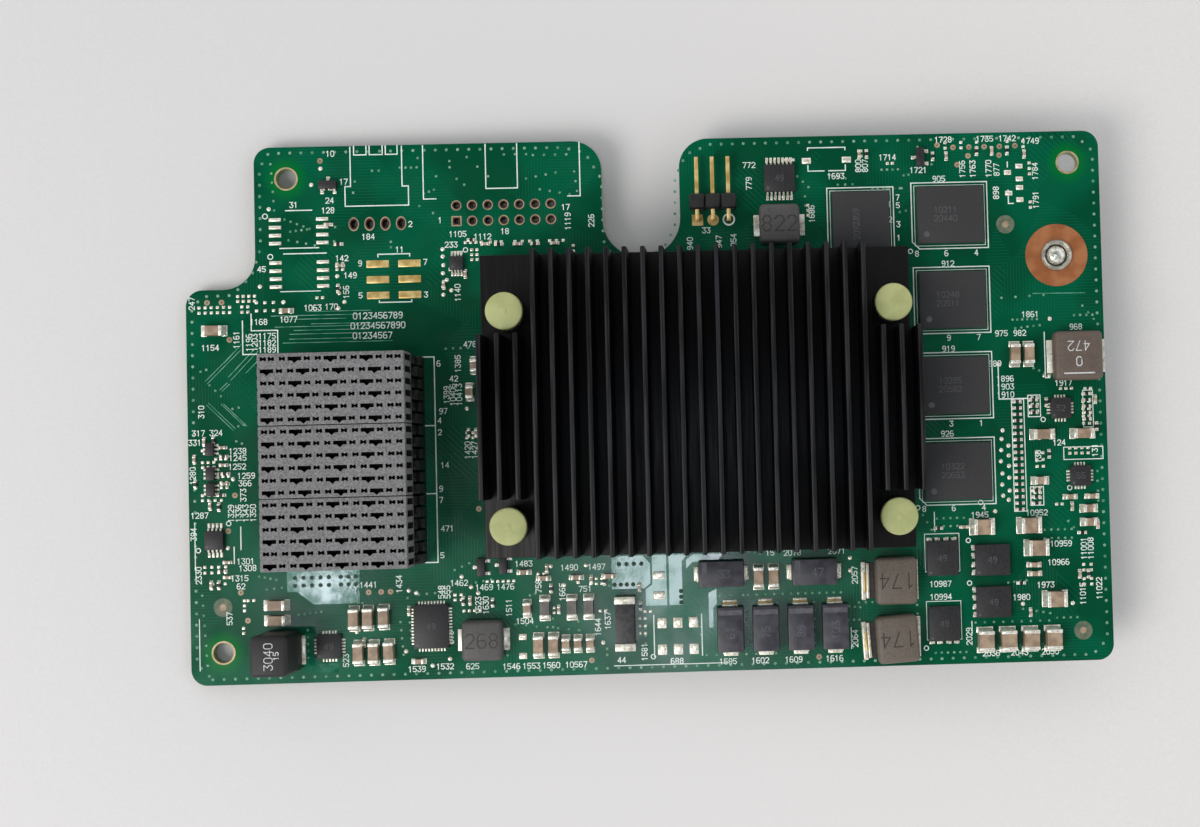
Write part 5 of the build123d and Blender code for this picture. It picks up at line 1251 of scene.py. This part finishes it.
# The case resin is a satin blue-grey, and its polarity bar only a shade lighter
slate_case = finish("slate_case_resin", "#2E2E35", "#3E3E46", 1.6, 0.42, 0.2, 0.012)
bar_ink = finish("polarity_bar", "#47474E", "#55555C", 0.8, 0.5, 0.2, 0.004)
tab_lands, tin_tabs = [], []
for i in range(6):
    low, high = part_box(f"tantalum_capacitor_{i + 1}")
    centre, size = (low + high) / 2, (high - low) / MM
    x, y = card_place(centre)
    parts = []
    for share, foot, head in ((1, 0.1, size.z / 2), (-1, size.z / 2, size.z)):
        middle = spot(x, y, (foot + head) / 2)
        shell = block((size.x, size.y, head - foot), middle, slate_case)
        for corner in shell.data.vertices:
            if (corner.co.z - middle.z) * share < 0:
                corner.co.x += math.copysign(CASE_DRAFT * MM, centre.x - corner.co.x)
                corner.co.y += math.copysign(CASE_DRAFT * MM, centre.y - corner.co.y)
        parts.append(soften(shell, 0.1))
    lying = size.x > size.y
    along = (1, 0) if lying else (0, 1)
    bar = (BAR_WIDTH, size.y - 0.5) if lying else (size.x - 0.5, BAR_WIDTH)
    place = (x - along[0] * (size.x / 2 - BAR_INSET), y + along[1] * (size.y / 2 - BAR_INSET))
    ink_z = high.z / MM + 0.008
    strip = flat("bar", [slab(*place, *bar)], bar_ink, ink_z)
    strip.parent = None
    mark_x, mark_y = x + along[0] * 0.5, y - along[1] * 0.5
    mark = marking(str(33 + 14 * i), mark_x, mark_y, ink_z, 0 if lying else 90, 1.2, 0.13, bar_ink)
    seat([*parts, strip, mark], f"moulded_tantalum_{i + 1}", "chip_black", f"tantalum_capacitor_{i + 1}")
    length, width = (high.x - low.x) / MM, (high.y - low.y) / MM
    for side in (-1, 1):
        if length > width:
            tin_tabs.append(slab(x + side * (length / 2 + 0.42), y, 0.75, 2.4))
        elif side < 0:
            tin_tabs.append(slab(x, y - width / 2 - 0.42, 2.4, 0.75))
        else:
            tab_lands.append(slab(x, y + width / 2 + 0.3, 2.4, 0.5))
            tin_tabs.append(slab(x, y + width / 2 + 0.75, 2.3, 0.45))
plates("tantalum_leads", "tantalum_end_tabs", "tinned", plated_copper, 0.06)
domed("tantalum_gold_lands", tab_lands, gold_plate, 0.2)
domed("tantalum_tinned_lands", tin_tabs, tin_solder, 0.26)

# Power bead: a bar of dark grey ferrite, matt like fired clay, with a plated cap on each end
ferrite = finish("dark_ferrite", "#2B2B2D", "#3C3C3E", 0.6, 0.5, 0.15, 0.015)
plates("power_bead", "ferrite_bead_bar", "ferrite_dark", ferrite, 0.12)
plates("power_bead_caps", "ferrite_bead_end_caps", "tinned", plated_copper, 0.14)

# Leaded and leadless chips: moulded bodies with a pin mark, their leads bent like a gull's wing down
# to tinned lands, or flush tinned terminals along their lower edges.
BODY_STAND = 0.05
SMALL_BODY, MARKED_BODY = 2, 3.2
PACKAGES = (
    *((f"power_transistor_{i + 1}", f"power_transistor_package_{i + 1}", 0.1, 0.2) for i in range(4)),
    ("power_controller", "power_controller_package", 0.06, 0.25), ("regulators", "regulator_packages", 0.06, 0.2),
    ("logic_chip", "logic_package", 0.12, 0.25), ("sensor_chip", "sensor_package", 0.1, 0.2),
    ("clock_chip", "clock_package", 0.08, 0.2), ("switch_chips", "switch_packages", 0.08, 0.2),
    ("small_transistors", "transistor_packages", 0.1, 0.2),
)
# Tinned leads are bright, with a faint warm tint
chip_leads = finish("tinned_chip_lead", "#D2CFC1", "#F2EFE4", 0.5, 0.3, 0.2, 0.01, 0.4)
for node, name, edge, mark_radius in PACKAGES:
    parts = []
    for centre, size in solids(node):
        top, tall = centre.z / MM + size.z / 2, size.z - BODY_STAND
        x, y = card_place(centre)
        parts.append(soften(block((size.x, size.y, tall), spot(x, y, top - tall / 2), mould_deep), edge))
        small = min(size.x, size.y) <= SMALL_BODY
        inset, radius = (0.38, 0.1) if small else (max(mark_radius * 2.4, 0.5), mark_radius)
        place = spot(x - size.x / 2 + inset, y - size.y / 2 + inset, top)
        parts.append(rod(radius, 0.02, place, 16, pin_mark))
        if min(size.x, size.y) > MARKED_BODY:
            parts.append(marking(str(47 + len(parts)), x, y, top + MARK_LIFT, 0, 0.9, 0.09, laser_grey))
    seat(parts, name, "chip_black", node)

# Each row of terminals is laid out along one side, and turned round for the sides across it
TERMINAL_PITCH = 0.5
TERMINAL, TERMINAL_LAND, LAND_SHIFT = (0.3, 0.26), (0.75, 0.28), 0.16
terminals, terminal_lands = [], []
for centre, size in (solid for node in ("power_controller", "regulators") for solid in solids(node)):
    x, y = card_place(centre)
    for across, along, order in ((size.x, size.y, 1), (size.y, size.x, -1)):
        count = int((along - 1.0) / TERMINAL_PITCH)
        for i in range(count):
            shift = (i - (count - 1) / 2) * TERMINAL_PITCH
            for side in (-1, 1):
                px, py = (side * across / 2, shift)[::order]
                out_x, out_y = (side * LAND_SHIFT, 0)[::order]
                terminals.append(block((*TERMINAL[::order], 0.22), spot(x + px, y + py, 0.12), chip_leads))
                terminal_lands.append(slab(x + px + out_x, y + py + out_y, *TERMINAL_LAND[::order]))
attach(join(terminals, "leadless_chip_terminals"), "card")
domed("leadless_chip_lands", terminal_lands, tin_solder, 0.06)


def gull_leads(node, name, around):
    """Bent leads where a CAD node has its sloped ones, each foot pointing away from its chip."""
    thick = 0.16
    parts, lands = [], []
    middles = [centre for chip in around for centre, size in solids(chip)]
    for centre, size in solids(node):
        chip = min(middles, key=lambda middle: (middle - centre).length)
        away = centre - chip
        across = abs(size.x) < abs(size.y)
        run, width, height = (size.y, size.x, size.z) if across else (size.x, size.y, size.z)
        sign = math.copysign(1, away.y if across else away.x)
        points = [(-0.5, height - thick / 2), (-0.2, height - thick / 2), (0.05, thick / 2), (0.5, thick / 2)]
        for (u1, z1), (u2, z2) in zip(points, points[1:]):
            length = math.hypot((u2 - u1) * run, z2 - z1) + thick * 0.6
            piece = block((length, width, thick), Vector((0, 0, 0)), chip_leads)
            tilt = Matrix.Rotation(-math.atan2(z2 - z1, (u2 - u1) * run), 4, "Y")
            place = Matrix.Translation(Vector(((u1 + u2) / 2 * run, 0, (z1 + z2) / 2)) * MM)
            turn = Matrix.Rotation(math.radians((90 if across else 0) + (0 if sign > 0 else 180)), 4, "Z")
            piece.data.transform(Matrix.Translation((centre.x, centre.y, 0)) @ turn @ place @ tilt)
            parts.append(piece)
        x, y = card_place(centre)
        shift = sign * (run * 0.25 + 0.1)
        land = (width + 0.14, run * 0.9) if across else (run * 0.9, width + 0.14)
        lands.append(slab(x + (0 if across else shift), y + (shift if across else 0), *land))
    seat(parts, name, "tinned", node)
    domed(name + "_lands", lands, tin_solder, 0.1)


gull_leads("logic_chip_leads", "logic_chip_gull_leads", ["logic_chip"])
gull_leads(
    "small_chip_leads", "small_chip_gull_leads", ["sensor_chip", "clock_chip", "switch_chips", "small_transistors"],
)
gull_leads(
    "power_transistor_leads", "power_transistor_gull_leads", [f"power_transistor_{i + 1}" for i in range(4)],
)

# Chip capacitors and resistors: fired ceramic bodies between bright tin end caps, each with a fillet
# of solder that runs down to its two lands.
# Fired ceramic has a satin glaze in tan or grey, and the resistors a glossier black one. The tin caps are
# nearly white, and the fillets are smoother and catch sharper lights.
ceramics = {
    "tan": finish("tan_capacitor_ceramic", "#8A7663", "#A8937C", 1.4, 0.42, 0.15, 0.006),
    "grey": finish("grey_capacitor_ceramic", "#5B5854", "#716D68", 1.4, 0.45, 0.15, 0.006),
    "pale": finish("pale_capacitor_ceramic", "#9A8C7C", "#B2A492", 1.4, 0.45, 0.15, 0.006),
    "dark": finish("dark_resistor_glaze", "#1C1C1E", "#2C2C2F", 0.8, 0.35, 0.1, 0.004),
}
end_tin = finish("bright_tin_end_cap", "#E2DECF", "#FFFDF4", 0.5, 0.26, 0.15, 0.01, 0.45)
fillet_solder = finish("solder_fillet", "#CFCCBF", "#F4F1E7", 0.5, 0.22, 0.25, 0.01, 0.45)
chip_templates = {}


def chip_template(length, width, height, ceramic):
    """One chip lying along X with its foot at the origin, made once for each size and ceramic."""
    key = (round(length, 2), round(width, 2), round(height, 2), ceramic)
    if key in chip_templates:
        return chip_templates[key]
    cap = min(0.55, length * 0.24)
    edge = min(0.1, height * 0.12)
    middle = Vector((0, 0, height / 2)) * MM
    core = block((length - cap, width * 0.96, height * 0.95), middle, ceramics[ceramic])
    parts = [soften(core, edge * 0.6, 1)]
    reach = min(0.4, height * 0.35)
    for side in (-1, 1):
        place = Vector((side * (length - cap) / 2, 0, height / 2)) * MM
        parts.append(soften(block((cap, width, height), place, end_tin), edge))
        place = Vector((side * (length + reach) / 2, 0, height * 0.3)) * MM
        fillet = block((reach, width * 0.92, height * 0.6), place, fillet_solder)
        for corner in fillet.data.vertices:
            if abs(corner.co.x) > (length / 2 + reach / 2) * MM and corner.co.z > height * 0.3 * MM:
                corner.co.z = 0.06 * MM
        parts.append(fillet)
    chip_templates[key] = join(parts, f"chip_{len(chip_templates)}")
    return chip_templates[key]


chip_lands = []


def set_chips(places, name, slot, ceramic, *nodes):
    """Chips at (centre, size) places, lying along the longer side of each."""
    parts = []
    for centre, size in places:
        along = size.x >= size.y
        length, width = (size.x, size.y) if along else (size.y, size.x)
        template = chip_template(length, width, size.z, ceramic)
        turn = (0 if along else 90) + random.uniform(-1.2, 1.2)
        parts.append(copy_to(template, Vector((centre.x, centre.y, 0)), turn))
        x, y = card_place(centre)
        land = (min(0.9, length * 0.45), width * 1.08)[::1 if along else -1]
        for side in (-1, 1):
            shift = side * (length / 2 + 0.05)
            chip_lands.append(slab(x + (shift if along else 0), y + (0 if along else shift), *land))
    return seat(parts, name, slot, *nodes)


for node, name, slot, ceramic in (
    ("large_chip_capacitors", "large_ceramic_capacitors", "capacitor_tan", "tan"),
    ("chip_capacitors", "ceramic_capacitors", "capacitor_tan", "tan"),
    ("ferrite_beads", "ferrite_chip_beads", "ferrite_dark", "grey"),
    ("chip_resistors", "ladder_resistors", "chip_black", "dark"),
):
    set_chips(solids(node), name, slot, ceramic, node)

# Smallest chips, of the sizes 1.0 by 0.5 and 0.6 by 0.3, read off the photograph: a place in mm on the
# card, a turn, and the ceramic. Bare pairs of lands are those that the maker left unfitted.
TINY_SIZE = Vector((1.0, 0.5, 0.4))
TINY_PLACES = (
    (2.6, 39.0, 90), (4.1, 39.2, 90), (5.5, 38.0, 0), (5.7, 36.6, 0), (5.6, 35.2, 0), (5.9, 33.8, 0),
    (5.8, 32.2, 0), (5.2, 30.4, 0), (1.0, 36.2, 90), (1.1, 32.2, 90), (3.4, 28.7, 90), (4.8, 28.5, 90),
    (6.0, 19.6, 0), (5.2, 18.2, 0), (6.0, 17.2, 0), (4.6, 16.0, 90), (3.4, 16.0, 90), (22.9, 79.4, 0),
    (23.0, 73.6, 0), (24.6, 70.4, 0), (24.8, 66.9, 0), (24.4, 63.2, 90), (41.4, 63.4, 90), (43.0, 65.9, 0),
    (44.9, 65.1, 90), (46.0, 70.6, 0), (48.2, 69.9, 0), (50.4, 69.8, 0), (53.4, 69.8, 0), (56.2, 69.8, 0),
    (59.4, 69.8, 0), (44.9, 39.4, 90), (46.1, 39.4, 90), (57.6, 14.0, 90), (58.8, 10.6, 90), (62.0, 15.4, 90),
    (64.1, 15.3, 90), (66.2, 15.0, 90), (71.8, 13.8, 90), (71.9, 10.8, 90), (34.8, 11.0, 90), (26.4, 8.4, 90),
    (27.6, 6.2, 90), (43.5, 12.4, 90), (44.6, 12.4, 90), (48.2, 12.0, 90), (57.0, 17.2, 90), (110.4, 83.2, 90),
    (109.2, 83.2, 90), (121.2, 82.6, 90), (123.4, 82.6, 90), (128.4, 83.3, 90), (130.9, 83.3, 90),
    (133.4, 83.3, 90), (136.2, 82.7, 90), (138.6, 42.0, 90), (146.6, 42.3, 90), (146.7, 37.9, 90), (136.8, 36.2, 0),
    (138.8, 33.6, 90), (142.3, 25.0, 90), (143.8, 20.7, 0), (143.2, 14.0, 90), (144.6, 14.0, 90), (146.4, 22.0, 90),
    (120.4, 22.0, 0), (124.6, 22.1, 0), (133.6, 12.8, 0), (135.0, 8.0, 90),
)
tiny = [(spot(x, y), TINY_SIZE if turn == 0 else Vector((0.5, 1.0, 0.4))) for x, y, turn in TINY_PLACES]
set_chips(tiny[::2], "tiny_ceramic_capacitors", "capacitor_tan", "pale")
set_chips(tiny[1::2], "tiny_resistors", "chip_black", "dark")
drop(*chip_templates.values())
domed("chip_solder_lands", chip_lands, tin_solder, 0.07)

# Stage: a matt, pale grey table top that carries the card at its pin tips and screw head, so the card
# leans about 3 degrees, under one broad lamp from the lower left and a sky that darkens overhead. The
# table top is painted lighter towards the right: painted light.
TABLE_TILT = math.radians(2.97)
TABLE_POINT = Vector((0.0464, 0.03, -0.00468))
TABLE_SIZE = 2.4

table_top, tree, shader, where = blank("pale_table_top")
# Painted light: the table's grey runs from darker at the left to lighter at the right.
across = add(tree, "ShaderNodeSeparateXYZ", {"Vector": where}, "X")
share = add(tree, "ShaderNodeMapRange", {"Value": across, "From Min": -0.02, "From Max": 0.17}, **SMOOTH)
pale = add(tree, "ShaderNodeMix", {"Factor": share, "A": "#CFCED0", "B": "#E6E4E2"}, **COLOUR)
fleck = add(tree, "ShaderNodeTexNoise", {"Vector": where, "Scale": 1 / (0.5 * MM)})
pale = add(tree, "ShaderNodeMix", {"Factor": fleck, "A": pale, "B": "#D8D7D8"}, **COLOUR)
grain = add(tree, "ShaderNodeTexNoise", {"Vector": where, "Scale": 1 / (0.8 * MM)})
relief = add(tree, "ShaderNodeBump", {"Height": grain, "Distance": 0.01 * MM})
tree.links.new(pale, shader.inputs["Base Color"])
tree.links.new(relief, shader.inputs["Normal"])
shader.inputs["Roughness"].default_value = 0.6
bpy.ops.mesh.primitive_grid_add(x_subdivisions=8, y_subdivisions=8, size=TABLE_SIZE)
table = own(bpy.context.object, "table_top", table_top)
table.data.transform(Matrix.Translation(TABLE_POINT) @ Matrix.Rotation(TABLE_TILT, 4, "Y"))

sky = bpy.data.worlds.new("studio_sky")
bpy.context.scene.world = sky
sky.use_nodes = True
tree = sky.node_tree
tree.nodes.clear()
direction = add(tree, "ShaderNodeTexCoord", None, "Generated")
height = add(tree, "ShaderNodeSeparateXYZ", {"Vector": direction}, "Z")
dimming = {"Value": height, "From Min": 0.72, "From Max": 0.94, "To Min": 1.0, "To Max": 0.06}
zenith = add(tree, "ShaderNodeMapRange", dimming, **SMOOTH)
add(tree, "ShaderNodeOutputWorld", {
    "Surface": add(tree, "ShaderNodeBackground", {"Color": "#F8F8F9", "Strength": zenith}),
})


def lamp(name, place, aim, size, watts, colour):
    """A square area lamp at a place, turned towards another."""
    data = bpy.data.lights.new(name, "AREA")
    data.size, data.energy, data.color = size, watts, linear(colour)[:3]
    made = bpy.data.objects.new(name, data)
    made.location = place
    made.rotation_euler = (Vector(aim) - Vector(place)).to_track_quat("-Z", "Y").to_euler()
    bpy.context.scene.collection.objects.link(made)


lamp("key_lamp", (-0.45, -0.35, 0.75), (0.07, 0.035, 0), 0.5, 5.0, "#FFFBF6")

# Two small windows high overhead, which only the smooth mask near the lower edge mirrors to the camera
lamp("left_window", spot(-121.0, -26.0, 600.0), spot(22.0, 14.5), 0.03, 0.06, "#E9F6FF")
lamp("right_window", spot(58.0, -31.0, 600.0), spot(78.5, 13.5), 0.07, 0.22, "#E9F6FF")

# Camera: the fitted viewpoint of the photograph, above the right half of the card
CAMERA_PLACE = (0.08106, 0.02810, 0.27529)
lens = bpy.data.cameras.new("camera")
lens.lens, lens.sensor_width, lens.sensor_fit = 51.0, 36.0, "HORIZONTAL"
lens.shift_x, lens.shift_y = -0.1412, -0.0022
lens.clip_start, lens.clip_end = 0.01, 10.0
camera = bpy.data.objects.new("camera", lens)
right, up, back_axis = Vector((1, -0.0255, 0.0261)), Vector((0.0255, 1, 0.0311)), Vector((-0.0261, -0.0311, 1))
camera.matrix_world = Matrix.Translation(CAMERA_PLACE) @ Matrix((
    (right.x, up.x, back_axis.x, 0), (right.y, up.y, back_axis.y, 0), (right.z, up.z, back_axis.z, 0), (0, 0, 0, 1),
)).normalized()
bpy.context.scene.collection.objects.link(camera)
bpy.context.scene.camera = camera

bpy.context.scene.view_settings.view_transform = "Standard"
bpy.context.view_layer.update()
